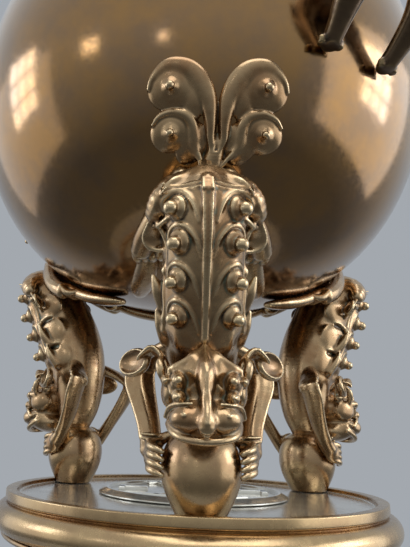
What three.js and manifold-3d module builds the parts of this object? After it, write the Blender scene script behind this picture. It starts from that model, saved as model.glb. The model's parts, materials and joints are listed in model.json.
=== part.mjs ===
// A cast bronze incense burner: a round bowl carried by three lion-dogs that stand head down on balls,
// on a turned round socle, with two clinging lion-dog handles, a loose ash liner and a pierced lid.
// Millimetres, +Z up. The origin is the centre of the socle's foot, and the front leg faces -Y.

import * as THREE from 'three';
import { mergeVertices } from 'three/addons/utils/BufferGeometryUtils.js';
import Module from 'manifold-3d';

const wasm = await Module();
wasm.setup();

// Driving dimensions

// gap between pieces that are fitted together, and the looser fit of pieces that lift out
const seatGap = 0.3;
const liftGap = 1;
// facets round a turned piece: a multiple of 12, so that each leg and handle meets the same facets
const turnedFacets = 24;
const fittingFacets = 24;
const finialFacets = 12;
const smallFacets = 8;
const legCount = 3;

// socle: its height, the raised rim round its top, the mouldings below and the spreading foot
const socleHeight = 52;
const rimRadius = 90;
const rimWidth = 5.5;
const rimEdge = 4;
const floorDrop = 2.2;
const beadRadius = 6;
const beadProud = 4.8;
const astragalRadius = 91;
const astragalHeight = 2.2;
const neckRadius = 72;
const neckAboveFoot = 18;
const footRadius = 100;
const footHeight = 7;
const footRise = 9;
const socleWall = 4.5;

// relief medallion let down on the socle's floor
const medallionRadius = 46;
const medallionThickness = 1.2;
const medallionRing = 3;
const reliefHeight = 1.4;
const fretWidth = 3.2;
const fretCount = 6;
const knotLength = 26;
const knotGap = 10;

// balls under the legs, and the studs that hold them down
const ballRing = 75.2;
const ballRadius = 15.2;
const ballBelow = 16.2;
const ballAbove = 14.6;
const ballFlat = 7.5;
const studRadius = 2.8;
const studReach = 12;
const nutAcross = 11;
const nutThickness = 4.5;

// bowl: a globe with a slightly flattened underside
const bowlRadius = 120;
const bowlFlattening = 9.5;
const bowlWall = 3.2;
const bowlMouth = 70;
// where the front leg's haunch meets the bowl, from the axis and above the socle's rim
const haunchRadius = 89;
const haunchHeight = 122;

// collar round the mouth, ash liner, lid and finial
const collarWall = 6.5;
const collarHeight = 12;
const collarSpigot = 6;
const lipProud = 5;
const lipHeight = 4;
const liftSeatDepth = 8;
const linerWall = 1.2;
const linerDepth = 52;
const linerFlange = 3;
const lidRise = 40;
const lidWall = 3;
const lidSkirt = 3.5;
const ventCount = 10;
const ventRadius = 4.2;
const ventTilt = 34;
const finialHeight = 52;
const finialRadius = 13;
const tenonRadius = 4;

// clinging handles: the way they face, and how far their bodies stand off the bowl
const handleTurn = 30;
const handleStandOff = 33;
const handleBody = 9.5;

// screws through the bowl's wall into each haunch
const screwRadius = 2.5;
const screwHead = 5;
const screwReach = 11;

// Levels and radii that follow from them

const floorZ = socleHeight - floorDrop;
const underFloorZ = floorZ - socleWall;
const ballZ = floorZ + seatGap + ballBelow;
const rad = THREE.MathUtils.degToRad;

// lower half of the globe: its flattening fades out towards the equator
const flatten = (angle) => (Math.cos(angle) > 0 ? bowlFlattening * Math.cos(angle) ** 4 : 0);
const globeDrop = (angle, proud) => (bowlRadius + proud - flatten(angle)) * Math.cos(angle);
const haunchAngle = Math.asin(haunchRadius / bowlRadius);
const bowlZ = socleHeight + haunchHeight + globeDrop(haunchAngle, 0);
const mouthAngle = Math.PI - Math.asin(bowlMouth / bowlRadius);
const mouthZ = bowlZ - globeDrop(mouthAngle, 0);
const collarTop = mouthZ + collarHeight;

const bronze = { color: 0x6f5d3f, roughness: 0.38, metalness: 1 };
const goldenBronze = { color: 0x8a6f45, roughness: 0.34, metalness: 1 };
const darkBronze = { color: 0x4f4433, roughness: 0.45, metalness: 1 };
const copper = { color: 0x8a5a40, roughness: 0.5, metalness: 1 };

// Closed solids from three.js geometry

function signedVolume(position, index) {
  const a = new THREE.Vector3();
  const b = new THREE.Vector3();
  const c = new THREE.Vector3();
  let volume = 0;
  for (let i = 0; i < index.count; i += 3) {
    a.fromBufferAttribute(position, index.getX(i));
    b.fromBufferAttribute(position, index.getX(i + 1));
    c.fromBufferAttribute(position, index.getX(i + 2));
    volume += a.dot(b.cross(c)) / 6;
  }
  return volume;
}

function solidOf(geometry) {
  const bare = geometry.clone();
  bare.deleteAttribute('normal');
  bare.deleteAttribute('uv');
  const merged = mergeVertices(bare, 1e-4);
  const { position } = merged.attributes;
  const triVerts = Uint32Array.from(merged.index.array);
  if (signedVolume(position, merged.index) < 0) {
    for (let i = 0; i < triVerts.length; i += 3) {
      [triVerts[i + 1], triVerts[i + 2]] = [triVerts[i + 2], triVerts[i + 1]];
    }
  }
  const vertProperties = Float32Array.from(position.array);
  return new wasm.Manifold(new wasm.Mesh({ numProp: 3, vertProperties, triVerts }));
}

// The triangles of a mesh's largest body, without the offcuts that a fitting cut can leave
function withoutOffcuts(triVerts) {
  const parent = Array.from({ length: Math.max(...triVerts) + 1 }, (_, i) => i);
  const rootOf = (vertex) => {
    let root = vertex;
    while (parent[root] !== root) root = parent[root];
    parent[vertex] = root;
    return root;
  };
  const bodies = new Map();
  for (let i = 0; i < triVerts.length; i += 3) {
    parent[rootOf(triVerts[i + 1])] = rootOf(triVerts[i]);
    parent[rootOf(triVerts[i + 2])] = rootOf(triVerts[i]);
  }
  for (let i = 0; i < triVerts.length; i += 3) {
    const root = rootOf(triVerts[i]);
    bodies.set(root, [...(bodies.get(root) ?? []), triVerts[i], triVerts[i + 1], triVerts[i + 2]]);
  }
  return [...bodies.values()].sort((p, q) => q.length - p.length)[0];
}

function geometryOf(solid) {
  const { vertProperties, triVerts } = solid.getMesh();
  const geometry = new THREE.BufferGeometry();
  geometry.setAttribute('position', new THREE.BufferAttribute(vertProperties, 3));
  geometry.setIndex(withoutOffcuts(triVerts));
  geometry.computeVertexNormals();
  return geometry;
}

const join = (solids) => solids.reduce((whole, next) => whole.add(next));
const cutAway = (solid, cutters) => cutters.reduce((left, cutter) => left.subtract(cutter), solid);

// A turned solid from [radius, height] points that start and end on the axis
function turned(points, facets = turnedFacets) {
  const profile = points.map(([r, z]) => new THREE.Vector2(r, z));
  return solidOf(new THREE.LatheGeometry(profile, facets).rotateX(Math.PI / 2));
}

// A turned ring from points that go once round its section
function turnedRing(points, facets = turnedFacets) {
  return turned([...points, points[0]], facets);
}

function arc(centreR, centreZ, radius, fromDegrees, toDegrees, steps) {
  return Array.from({ length: steps + 1 }, (_, i) => {
    const angle = rad(fromDegrees + ((toDegrees - fromDegrees) * i) / steps);
    return [centreR + radius * Math.cos(angle), centreZ + radius * Math.sin(angle)];
  });
}

function peg(radius, fromZ, toZ, x = 0, y = 0, facets = smallFacets) {
  const rod = new THREE.CylinderGeometry(radius, radius, toZ - fromZ, facets).rotateX(Math.PI / 2);
  return solidOf(rod.translate(x, y, (fromZ + toZ) / 2));
}

function blob([x, y, z], [rx, ry, rz], around = 6, down = 4) {
  const ball = new THREE.SphereGeometry(1, around, down).rotateX(Math.PI / 2);
  return solidOf(ball.scale(rx, ry, rz).translate(x, y, z));
}

// A limb: elliptical rings along a smooth line of stations [x, y, z, half-width, half-depth], with
// rounded ends. The half-width lies along the direction named across.
function limbGeometry(stations, { sides = 8, steps = 2, grow = 0, across = [1, 0, 0] } = {}) {
  const line = new THREE.CatmullRomCurve3(stations.map(([x, y, z]) => new THREE.Vector3(x, y, z)));
  const size = new THREE.CatmullRomCurve3(
    stations.map(([, , , a, b]) => new THREE.Vector3(a + grow, b + grow, 0)),
  );
  const count = (stations.length - 1) * steps;
  const positions = [];
  const addRing = (centre, tangent, a, b) => {
    const side = new THREE.Vector3(...across);
    side.addScaledVector(tangent, -tangent.dot(side)).normalize();
    const depth = new THREE.Vector3().crossVectors(tangent, side);
    for (let k = 0; k < sides; k += 1) {
      const angle = (2 * Math.PI * k) / sides;
      const point = centre.clone().addScaledVector(side, a * Math.cos(angle));
      positions.push(...point.addScaledVector(depth, b * Math.sin(angle)).toArray());
    }
  };
  const capRing = (t, outward) => {
    const tangent = line.getTangent(t);
    const { x: a, y: b } = size.getPoint(t);
    const centre = line.getPoint(t).addScaledVector(tangent, outward * 0.5 * Math.min(a, b));
    addRing(centre, tangent, a * 0.8, b * 0.8);
  };
  const tip = (t, outward) => {
    const { x: a, y: b } = size.getPoint(t);
    return line.getPoint(t).addScaledVector(line.getTangent(t), outward * 0.85 * Math.min(a, b));
  };
  capRing(0, -1);
  for (let i = 0; i <= count; i += 1) {
    const { x: a, y: b } = size.getPoint(i / count);
    addRing(line.getPoint(i / count), line.getTangent(i / count), a, b);
  }
  capRing(1, 1);
  const rings = count + 3;
  positions.push(...tip(0, -1).toArray(), ...tip(1, 1).toArray());
  const index = [];
  for (let i = 0; i < rings - 1; i += 1) {
    for (let k = 0; k < sides; k += 1) {
      const next = (k + 1) % sides;
      const [p, q, r, s] = [i * sides + k, i * sides + next, (i + 1) * sides + k, (i + 1) * sides + next];
      index.push(p, q, s, p, s, r);
    }
  }
  for (let k = 0; k < sides; k += 1) {
    const next = (k + 1) % sides;
    index.push(rings * sides, next, k);
    index.push(rings * sides + 1, (rings - 1) * sides + k, (rings - 1) * sides + next);
  }
  const geometry = new THREE.BufferGeometry();
  geometry.setAttribute('position', new THREE.BufferAttribute(new Float32Array(positions), 3));
  geometry.setIndex(index);
  return geometry;
}

const limb = (stations, options) => solidOf(limbGeometry(stations, options));
const mirrored = (stations, side) => stations.map(([x, ...rest]) => [x * side, ...rest]);

// A point on the globe's outside, from the angle up from its lowest point and the distance to the
// right of the front, standing proud of the surface
function onGlobe(angle, right, proud) {
  const r = (bowlRadius + proud) * Math.sin(angle);
  const turn = right / (bowlRadius * Math.sin(angle));
  return [r * Math.sin(turn), -r * Math.cos(turn), bowlZ - globeDrop(angle, proud)];
}

// Lays a flat relief (x right, y up, z proud) on the globe, its y = 0 at the given angle
function laidOnGlobe(geometry, angle) {
  const { position } = geometry.attributes;
  for (let i = 0; i < position.count; i += 1) {
    const [x, y, z] = [position.getX(i), position.getY(i), position.getZ(i)];
    position.setXYZ(i, ...onGlobe(angle + y / bowlRadius, x, z));
  }
  return geometry;
}

// Socle and what is fixed on it

function socle() {
  const innerRim = rimRadius - rimWidth;
  const beadZ = socleHeight - rimEdge - 1 - beadRadius;
  const beadCentre = rimRadius + beadProud - beadRadius;
  const astragalZ = beadZ - beadRadius - astragalHeight / 2;
  const cove = astragalZ - astragalHeight / 2 - 1;
  const neckZ = neckAboveFoot + footHeight;
  const outside = [
    [0, floorZ],
    [innerRim, floorZ],
    [innerRim + 0.6, socleHeight],
    [rimRadius, socleHeight],
    [rimRadius, socleHeight - rimEdge],
    [rimRadius - 1.5, socleHeight - rimEdge - 1],
    ...arc(beadCentre, beadZ, beadRadius, 75, -75, 3),
    ...arc(astragalRadius - astragalHeight / 2, astragalZ, astragalHeight / 2, 60, -60, 2),
    [astragalRadius - 4, cove],
    [(astragalRadius + neckRadius) / 2 - 3, (cove + neckZ) / 2 + 1],
    [neckRadius, neckZ],
    [neckRadius + 3, footHeight + footRise],
    [(neckRadius + footRadius) / 2, footHeight + footRise / 2],
    [footRadius, footHeight],
    [footRadius, 0],
  ];
  const inside = [
    [footRadius - 2 * socleWall, 0],
    [neckRadius - socleWall, footHeight + footRise - 3],
    [neckRadius - socleWall, neckZ],
    [astragalRadius - 2 * socleWall, cove + 2],
    [astragalRadius - 2 * socleWall, underFloorZ],
    [0, underFloorZ],
  ];
  const bore = (turn) => peg(studRadius + seatGap, underFloorZ - 2, floorZ + 2, ...ballPlace(turn));
  const bores = eachLeg(bore);
  return cutAway(turned([...outside, ...inside]), bores);
}

function ballPlace(turn) {
  return [ballRing * Math.sin(rad(turn)), -ballRing * Math.cos(rad(turn))];
}

function eachLeg(make) {
  return Array.from({ length: legCount }, (_, i) => make((360 / legCount) * i));
}

// A disc with a raised ring and a fret of T-shaped keys round a knot
function medallion() {
  const base = floorZ + seatGap;
  const top = base + medallionThickness;
  const section = [[0, base], [medallionRadius, base], [medallionRadius, top], [0, top]];
  const disc = turned(section, fittingFacets);
  const ring = turnedRing([
    [medallionRadius - medallionRing, top - 0.4],
    [medallionRadius - medallionRing, top + reliefHeight],
    [medallionRadius - 1, top + reliefHeight],
    [medallionRadius - 0.3, top - 0.4],
  ], fittingFacets);
  const bar = (length, width, x, y, turn) => {
    const block = new THREE.BoxGeometry(length, width, reliefHeight + 0.4);
    block.translate(x, y, top + reliefHeight / 2 - 0.2);
    return solidOf(block.rotateZ(rad(turn)));
  };
  const keyEnd = medallionRadius - medallionRing - 2 * fretWidth;
  const keyStart = knotLength / 2 + fretWidth * 2.5;
  const keyLength = keyEnd - keyStart;
  const keys = [];
  for (let i = 0; i < fretCount; i += 1) {
    const turn = (360 / fretCount) * i;
    const stem = bar(keyLength, fretWidth, keyStart + keyLength / 2, 0, turn);
    const head = bar(fretWidth, keyLength, keyEnd - fretWidth / 2, 0, turn);
    keys.push(stem, head);
  }
  const strand = (y, turn) => bar(knotLength, fretWidth, 0, y, turn);
  const knot = [0, 90].flatMap((turn) => [strand(knotGap / 2, turn), strand(-knotGap / 2, turn)]);
  return join([disc, ring, ...keys, ...knot]);
}

// An egg on its flat: its sides swell up to the widest place, then turn in over a square shoulder
function ballProfile(grow) {
  const points = [[0, -ballBelow - grow], [ballFlat + grow, -ballBelow - grow]];
  for (const angle of [25, 50, 90]) {
    const reach = ballFlat + (ballRadius - ballFlat) * Math.sin(rad(angle));
    points.push([reach + grow, ballBelow * (angle / 90 - 1)]);
  }
  for (const angle of [35, 58, 75]) {
    const reach = ballRadius * Math.sqrt(Math.cos(rad(angle)));
    points.push([reach + grow, (ballAbove + grow) * Math.sin(rad(angle))]);
  }
  points.push([0, ballAbove + grow]);
  return points.map(([r, z]) => [r, z + ballZ]);
}

const frontBall = (grow) => turned(ballProfile(grow), 12).translate([0, -ballRing, 0]);
const studTop = ballZ + ballAbove + studReach;
const frontStudHole = () => peg(studRadius + seatGap, floorZ - 1, studTop, 0, -ballRing);

function ballFoot() {
  return frontBall(0).subtract(frontStudHole());
}

function ballStud() {
  const top = studTop - seatGap;
  return peg(studRadius, underFloorZ - nutThickness - 3, top, 0, -ballRing);
}

function ballNut() {
  const top = underFloorZ - seatGap;
  const across = nutAcross / Math.sqrt(3);
  const body = peg(across, top - nutThickness, top, 0, -ballRing, 6);
  return body.subtract(peg(studRadius + seatGap, top - nutThickness - 1, top + 1, 0, -ballRing));
}

// Lion-dog legs, all modelled as the front one. Heights are above the socle's rim.

const legPoint = (x, r, z) => [x, -r, socleHeight + z];
const legStations = (rows) => rows.map(([x, r, z, a, b]) => [...legPoint(x, r, z), a, b]);

// the back's line from the haunch on the bowl down to the neck inside the ball
const backLine = legStations([
  [0, haunchRadius + 7, haunchHeight + 2, 13, 10],
  [0, haunchRadius + 12, haunchHeight - 5, 18, 13],
  [0, 98.5, 104, 17, 15.5],
  [0, 90, 90, 16, 18],
  [0, 82.3, 77, 16, 17.7],
  [0, 77.2, 65, 15.5, 16.8],
  [0, 75, 53, 14.5, 14.5],
  [0, 75, 41, 11.5, 11.5],
  [0, 75.2, 30, 7.5, 7.5],
  [0, 75.2, 22, 5, 5],
]);

// scroll bosses in two rows down the back: [distance from the middle, radius out, height]
const backBosses = [
  [10.4, 111, 107],
  [9.4, 107, 92.5],
  [9.4, 98.5, 79],
  [9, 92.5, 67],
  [9.2, 88.5, 56],
];
const bossRadius = 2.3;
const bossRise = 4.6;
const scrollRadius = 4.6;
const eyeHeight = 46;
const muzzleHeight = 34;
const skullWidth = 15.5;
const skullDepth = 13;
const skullHeight = 13.5;
const muzzleWidth = 14;
const ridgeLine = legStations([
  [0, haunchRadius + 18, haunchHeight + 2, 3, 3],
  [0, haunchRadius + 23, haunchHeight - 5, 3, 3],
  [0, 113.5, 106, 2.6, 3],
  [0, 107.5, 90, 2.6, 3],
  [0, 99.5, 76, 2.6, 3],
  [0, 92.5, 64, 2.8, 3],
]);

function hindLeg(side, grow) {
  const shank = [
    [52, 20.5, 6, 7, 7],
    [42, 22.5, 4.5, 5.5, 5.5],
    [34, 22, 3.5, 6, 4.6],
    [27.5, 21, 3, 5.4, 3.8],
  ].map(([angle, right, proud, a, b]) => [...onGlobe(rad(angle), right, proud), a, b]);
  const haunch = [...legPoint(8, haunchRadius + 10, haunchHeight - 10), 9, 10];
  return limb(mirrored([haunch, ...shank], side), { grow, steps: 1, sides: 6 });
}

function torsoForm(grow) {
  const body = limb(backLine, { sides: 8, steps: 1, grow });
  const pieces = [body, limb(ridgeLine, { sides: 4, steps: 1, grow })];
  for (const side of [-1, 1]) {
    pieces.push(hindLeg(side, grow));
    for (const [x, r, z] of backBosses) {
      const mound = [scrollRadius + grow, bossRise + grow, scrollRadius + grow];
      pieces.push(blob(legPoint(side * x, r - 1, z), mound, 4, 2));
    }
  }
  return join(pieces);
}

function globeProfile(proud, topAngle) {
  const steps = 10;
  return Array.from({ length: steps + 1 }, (_, i) => {
    const angle = (topAngle * i) / steps;
    return [(bowlRadius + proud) * Math.sin(angle), bowlZ - globeDrop(angle, proud)];
  });
}

const globeCutter = () => turned([...globeProfile(seatGap, mouthAngle), [0, mouthZ]]);
const alongHaunch = (solid) => solid.rotate([180 - THREE.MathUtils.radToDeg(haunchAngle), 0, 0])
  .translate(onGlobe(haunchAngle, 0, 0));

// the head's skull, muzzle and brow ridge, which the neck is hollowed to take
function headForm(grow) {
  const skull = [skullWidth, skullDepth, skullHeight].map((size) => size + grow);
  const muzzle = [muzzleWidth, 9.5, 8].map((size) => size + grow);
  const brow = legStations([
    [0, 96, 61, 2.2, 2.2],
    [0, 105, 53, 3.2, 3],
    [0, 108, 42, 2.8, 2.6],
    [0, 110, 33, 3.8, 3.4],
    [0, 106, 27.5, 3, 3],
  ]);
  return join([
    blob(legPoint(0, 93, eyeHeight), skull, 8, 5),
    blob(legPoint(0, 98.5, muzzleHeight), muzzle, 8, 4),
    limb(brow, { sides: 4, steps: 1, grow }),
  ]);
}

function torso() {
  const hole = alongHaunch(peg(screwRadius + seatGap, -2, screwReach));
  const seats = [globeCutter(), frontBall(seatGap), frontStudHole(), hole, headForm(seatGap)];
  return cutAway(torsoForm(0), seats);
}

function haunchScrew() {
  const shank = peg(screwRadius, -bowlWall - 1, screwReach - seatGap);
  const head = peg(screwHead, -bowlWall - screwHead / 2, -bowlWall - seatGap);
  return alongHaunch(shank.add(head));
}

const foreLegLine = legStations([
  [12, 72, 64, 5.5, 5.5],
  [20.5, 60.5, 58, 6, 4.8],
  [25, 56.5, 52.5, 6, 4.4],
  [24, 59.5, 44, 5.4, 4.2],
  [21.3, 64.5, 34, 4.6, 4],
  [19.4, 69.5, 26, 4.3, 4],
  [18.9, 74, 20, 4.6, 4.8],
  [18.4, 78, 14.5, 4.2, 4.6],
]);

function foreLeg(side) {
  const clawLine = legStations([[17.5, 71, 24, 2.4, 2.4], [12.5, 72.5, 26, 2, 2]]);
  const claw = limb(mirrored(clawLine, side), { sides: 5, steps: 1 });
  const leg = limb(mirrored(foreLegLine, side), { sides: 7, steps: 1 });
  return cutAway(leg.add(claw), [torsoForm(seatGap), frontBall(seatGap)]);
}

function ear(side) {
  const leaf = [
    [12.5, 90, eyeHeight + 2, 2, 4],
    [17.8, 87, eyeHeight + 9.5, 2, 5],
    [24.5, 80.5, eyeHeight + 6, 1.8, 6.5],
    [30.5, 77.5, eyeHeight + 9.5, 1.4, 4.5],
  ];
  return limb(mirrored(legStations(leaf), side), { sides: 4, steps: 1, across: [0, 0.3, 1] });
}

function head() {
  const lip = [[-13.5, 97, 31.5], [-8, 104, 28.5], [0, 107, 27], [8, 104, 28.5], [13.5, 97, 31.5]];
  const lipStations = legStations(lip.map((place) => [...place, 2, 2]));
  const pieces = [headForm(0), limb(lipStations, { sides: 4, steps: 1, across: [0, 0, 1] })];
  for (const side of [-1, 1]) {
    pieces.push(blob(legPoint(side * 9.2, 104.5, eyeHeight), [2.8, 3, 3.2], 5, 3));
    pieces.push(blob(legPoint(side * 13.5, 99.5, eyeHeight - 1.5), [2.2, 2.4, 2.6], 4, 2));
    pieces.push(blob(legPoint(side * 9.6, 105, eyeHeight - 6.5), [2.6, 2.6, 2.6], 4, 2));
    pieces.push(blob(legPoint(side * 7.5, 106, muzzleHeight - 1), [3.4, 3, 3.2], 5, 3));
    pieces.push(ear(side));
  }
  return join(pieces).subtract(frontBall(seatGap));
}

// The tail fans into four scrolls that lie on the bowl above the haunch. Flat stations:
// [right, up, half-height off the bowl, half-width].
const largeScroll = [
  [2.6, -3, 3, 2.4],
  [3.4, 12, 4, 3.2],
  [4.2, 25, 4.4, 3.7],
  [9, 36.5, 4.6, 3.8],
  [16.5, 40.8, 4.6, 3.6],
  [24, 37.5, 4.4, 3.2],
  [24.6, 30, 4, 2.6],
];
const smallScroll = [
  [2.6, -1, 3, 2.2],
  [9, 7, 3.8, 2.8],
  [14, 17.5, 4.2, 3],
  [20, 21, 4.2, 2.8],
  [25.5, 17.5, 4, 2.6],
  [25, 11, 3.6, 2.2],
];
const tailScrolls = [
  { line: largeScroll, boss: [18.8, 33], disc: 6.4 },
  { line: smallScroll, boss: [19.6, 14.8], disc: 5.4 },
];
const tailAngle = haunchAngle + rad(5.5);

function scrollBoss([x, y], disc) {
  const profile = [[0, -2], [disc, -2], [disc, 2.6], [bossRadius, 5], [0, 7.4]];
  const points = profile.map(([r, z]) => new THREE.Vector2(r, z));
  const turnedBoss = new THREE.LatheGeometry(points, 6).rotateX(Math.PI / 2).translate(x, y, 0);
  return solidOf(laidOnGlobe(turnedBoss, tailAngle));
}

function tail() {
  const rootLine = [[0, -9, 1, 4, 4], [0, 2, 0, 5, 6], [0, 14, 0, 4, 4]];
  const root = limbGeometry(rootLine, { sides: 6, steps: 1, across: [0, 0, 1] });
  const pieces = [solidOf(laidOnGlobe(root, tailAngle))];
  for (const side of [-1, 1]) {
    for (const { line, boss, disc } of tailScrolls) {
      const flat = line.map(([x, y, height, width]) => [x * side, y, 0, height, width]);
      const curl = limbGeometry(flat, { sides: 5, steps: 1, across: [0, 0, 1] });
      pieces.push(solidOf(laidOnGlobe(curl, tailAngle)));
      pieces.push(scrollBoss([boss[0] * side, boss[1]], disc));
    }
  }
  const screwHole = alongHaunch(peg(screwRadius + seatGap, -2, screwReach));
  return cutAway(join(pieces), [globeCutter(), torsoForm(seatGap), screwHole]);
}

// Bowl and its fittings

function bowl() {
  const outside = globeProfile(0, mouthAngle);
  const inside = globeProfile(-bowlWall, mouthAngle).reverse();
  const shell = turned([...outside, ...inside]);
  const spotFace = peg(screwHead + 1, -bowlWall - 4, -bowlWall);
  const frontHole = alongHaunch(peg(screwRadius + seatGap, -bowlWall - 4, 4).add(spotFace));
  return cutAway(shell, eachLeg((turn) => frontHole.rotate([0, 0, turn])));
}

const mouthInside = (bowlRadius - bowlWall) * Math.sin(mouthAngle);
const spigotOutside = mouthInside - liftGap;
const collarBore = spigotOutside - collarWall / 2;
const collarOutside = bowlMouth + lipProud;

function collar() {
  const base = mouthZ + seatGap;
  return turnedRing([
    [collarBore, mouthZ - collarSpigot],
    [spigotOutside, mouthZ - collarSpigot],
    [spigotOutside, base],
    [bowlMouth, base],
    [bowlMouth - 1, base + collarHeight / 3],
    [collarOutside, collarTop - lipHeight],
    [collarOutside, collarTop - 1],
    [collarOutside - 1, collarTop],
    [collarBore + linerFlange, collarTop],
    [collarBore + linerFlange, collarTop - liftSeatDepth],
    [collarBore, collarTop - liftSeatDepth],
  ], fittingFacets);
}

// The liner hangs by its flange on the step inside the collar
function ashLiner() {
  const top = collarTop - liftSeatDepth + seatGap + linerWall;
  const side = collarBore - liftGap;
  const bottom = top - linerDepth;
  const edge = linerDepth / 4;
  return turned([
    [0, bottom],
    [side - edge, bottom],
    [side - edge / 4, bottom + edge / 3],
    [side, bottom + edge],
    [side, top - linerWall],
    [collarBore + linerFlange - liftGap, top - linerWall],
    [collarBore + linerFlange - liftGap, top],
    [side - linerWall, top],
    [side - linerWall, bottom + edge],
    [side - linerWall - edge / 4, bottom + edge / 3 + linerWall],
    [side - linerWall - edge, bottom + linerWall],
    [0, bottom + linerWall],
  ], fittingFacets);
}

const lidBase = collarTop + seatGap;
const lidTop = lidBase + lidRise;
const lidNutRadius = nutAcross / Math.sqrt(3) + 2;
const domeRadius = collarOutside - 1;

function domeLine(radius, rise, steps) {
  return Array.from({ length: steps }, (_, i) => {
    const angle = (Math.PI / 2) * (i / steps);
    return [radius * Math.cos(angle), lidBase + rise * Math.sin(angle)];
  });
}

function lid() {
  const skirtInside = collarOutside + liftGap;
  const skirtOutside = skirtInside + lidWall;
  const shell = turned([
    [0, lidTop - lidWall],
    [lidNutRadius + liftGap, lidTop - lidWall],
    ...domeLine(domeRadius - lidWall, lidRise - lidWall, 4).reverse(),
    [skirtInside, lidBase],
    [skirtInside, lidBase - lidSkirt],
    [skirtOutside, lidBase - lidSkirt],
    [skirtOutside, lidBase + lidWall - 1],
    [domeRadius + 1, lidBase + lidWall + 1],
    ...domeLine(domeRadius, lidRise, 4).slice(1),
    [0, lidTop],
  ], fittingFacets);
  const vents = [];
  const tilt = rad(ventTilt);
  const out = -domeRadius * Math.cos(tilt) + lidWall / 2;
  const vent = peg(ventRadius, -lidWall * 3, lidWall * 3, 0, 0, 6).rotate([90 - ventTilt, 0, 0]);
  const frontVent = vent.translate([0, out, lidBase + lidRise * Math.sin(tilt)]);
  for (let i = 0; i < ventCount; i += 1) {
    vents.push(frontVent.rotate([0, 0, (i * 360) / ventCount]));
  }
  vents.push(peg(tenonRadius + seatGap, lidTop - lidWall - 3, lidTop + 3, 0, 0, finialFacets));
  return cutAway(shell, vents);
}

const finialBase = lidTop + seatGap;
const tenonEnd = lidTop - lidWall - nutThickness - 3;

function finial() {
  const neck = finialRadius * 0.45;
  const budZ = finialBase + finialHeight - finialRadius * 1.3;
  const profile = [
    [0, tenonEnd],
    [tenonRadius, tenonEnd],
    [tenonRadius, finialBase],
    [finialRadius, finialBase],
    [finialRadius, finialBase + 3],
    [finialRadius - 4, finialBase + 6],
    [neck, finialBase + 14],
    [neck + 3, finialBase + 16.5],
    [neck, finialBase + 19],
    ...arc(0, budZ, finialRadius, -62, 50, 6),
    [neck * 0.55, finialBase + finialHeight - finialRadius * 0.25],
    [0, finialBase + finialHeight],
  ];
  return turned(profile, finialFacets);
}

function finialNut() {
  const top = lidTop - lidWall - seatGap;
  const body = peg(lidNutRadius, top - nutThickness, top, 0, 0, 6);
  return body.subtract(peg(tenonRadius + seatGap, top - nutThickness - 1, top + 1, 0, 0, finialFacets));
}

// Lion-dog handle, modelled as if at the front: hind paws low on the globe, arched body standing
// off it, forepaws on the shoulder
function handle() {
  const at = (fromEquator, right, proud, a, b) => [...onGlobe(rad(90 + fromEquator), right, proud), a, b];
  const body = [
    at(1, 0, handleStandOff - 5, handleBody + 1, handleBody),
    at(8, 0, handleStandOff, handleBody + 1.5, handleBody),
    at(17, 0, handleStandOff + 1, handleBody - 0.5, handleBody - 1),
    at(26, 0, handleStandOff - 3, handleBody + 2, handleBody),
    at(34, 0, handleStandOff - 3, handleBody - 1, handleBody - 1),
  ];
  const hind = [
    at(1, 7, handleStandOff - 6, 7.5, 7.5),
    at(3, 16, handleStandOff - 9, 6, 6.5),
    at(-5, 15.5, 13, 4.4, 4.4),
    at(-11, 14.5, 3, 5.2, 4.4),
  ];
  const fore = [
    at(27, 7, handleStandOff - 7, 7, 7),
    at(23, 15, handleStandOff - 14, 5.4, 5.6),
    at(29, 15, 10, 4.4, 4.4),
    at(33, 14, 2, 5, 4.4),
  ];
  const face = onGlobe(rad(129), 0, handleStandOff + 2);
  const snout = onGlobe(rad(125.5), 0, handleStandOff + 13);
  const curl = [
    at(-2, 0, handleStandOff, 5, 5),
    at(-8, 0, handleStandOff + 6, 4.6, 4.6),
    at(-5, 0, handleStandOff + 14, 4, 4),
  ];
  const pieces = [
    limb(body, { sides: 7, steps: 1 }),
    limb(curl, { sides: 4, steps: 1 }),
    blob(face, [11, 10.5, 10], 7, 5),
    blob(snout, [8, 7, 6.5]),
  ];
  for (const side of [-1, 1]) {
    pieces.push(...[hind, fore].map((leg) => limb(mirrored(leg, side), { sides: 5, steps: 1 })));
    const [, y, z] = face;
    const leaf = [[8, y, z + 3, 3, 1.8], [15, y + 1, z + 7, 3.6, 1.8], [20, y + 1, z + 4, 2, 1.2]];
    pieces.push(limb(mirrored(leaf, side), { sides: 4, steps: 1, across: [0, 0.3, 1] }));
  }
  return cutAway(join(pieces), [globeCutter()]);
}

// The assembly

const burner = new THREE.Group();

function place(name, solid, look, turn = 0) {
  const mesh = new THREE.Mesh(geometryOf(solid), new THREE.MeshStandardMaterial(look));
  mesh.name = name;
  const holder = new THREE.Group();
  holder.rotation.z = rad(turn);
  holder.add(mesh);
  burner.add(holder);
}

place('socle', socle(), goldenBronze);
place('socle_medallion', medallion(), darkBronze);
const legNames = ['front', 'right', 'left'];
const legPieces = {
  ball_foot: [ballFoot(), goldenBronze],
  ball_stud: [ballStud(), darkBronze],
  ball_nut: [ballNut(), darkBronze],
  torso: [torso(), bronze],
  head: [head(), goldenBronze],
  foreleg_right: [foreLeg(1), bronze],
  foreleg_left: [foreLeg(-1), bronze],
  tail: [tail(), bronze],
  haunch_screw: [haunchScrew(), copper],
};
legNames.forEach((leg, i) => {
  for (const [piece, [solid, look]] of Object.entries(legPieces)) {
    place(`${leg}_${piece}`, solid, look, (360 / legCount) * i);
  }
});
place('bowl', bowl(), bronze);
place('mouth_collar', collar(), goldenBronze);
place('handle_right', handle(), darkBronze, handleTurn);
place('handle_left', handle(), darkBronze, handleTurn + 180);
place('ash_liner', ashLiner(), copper);
place('lid', lid(), bronze);
place('lid_finial', finial(), goldenBronze);
place('lid_nut', finialNut(), darkBronze);

export default burner;
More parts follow.
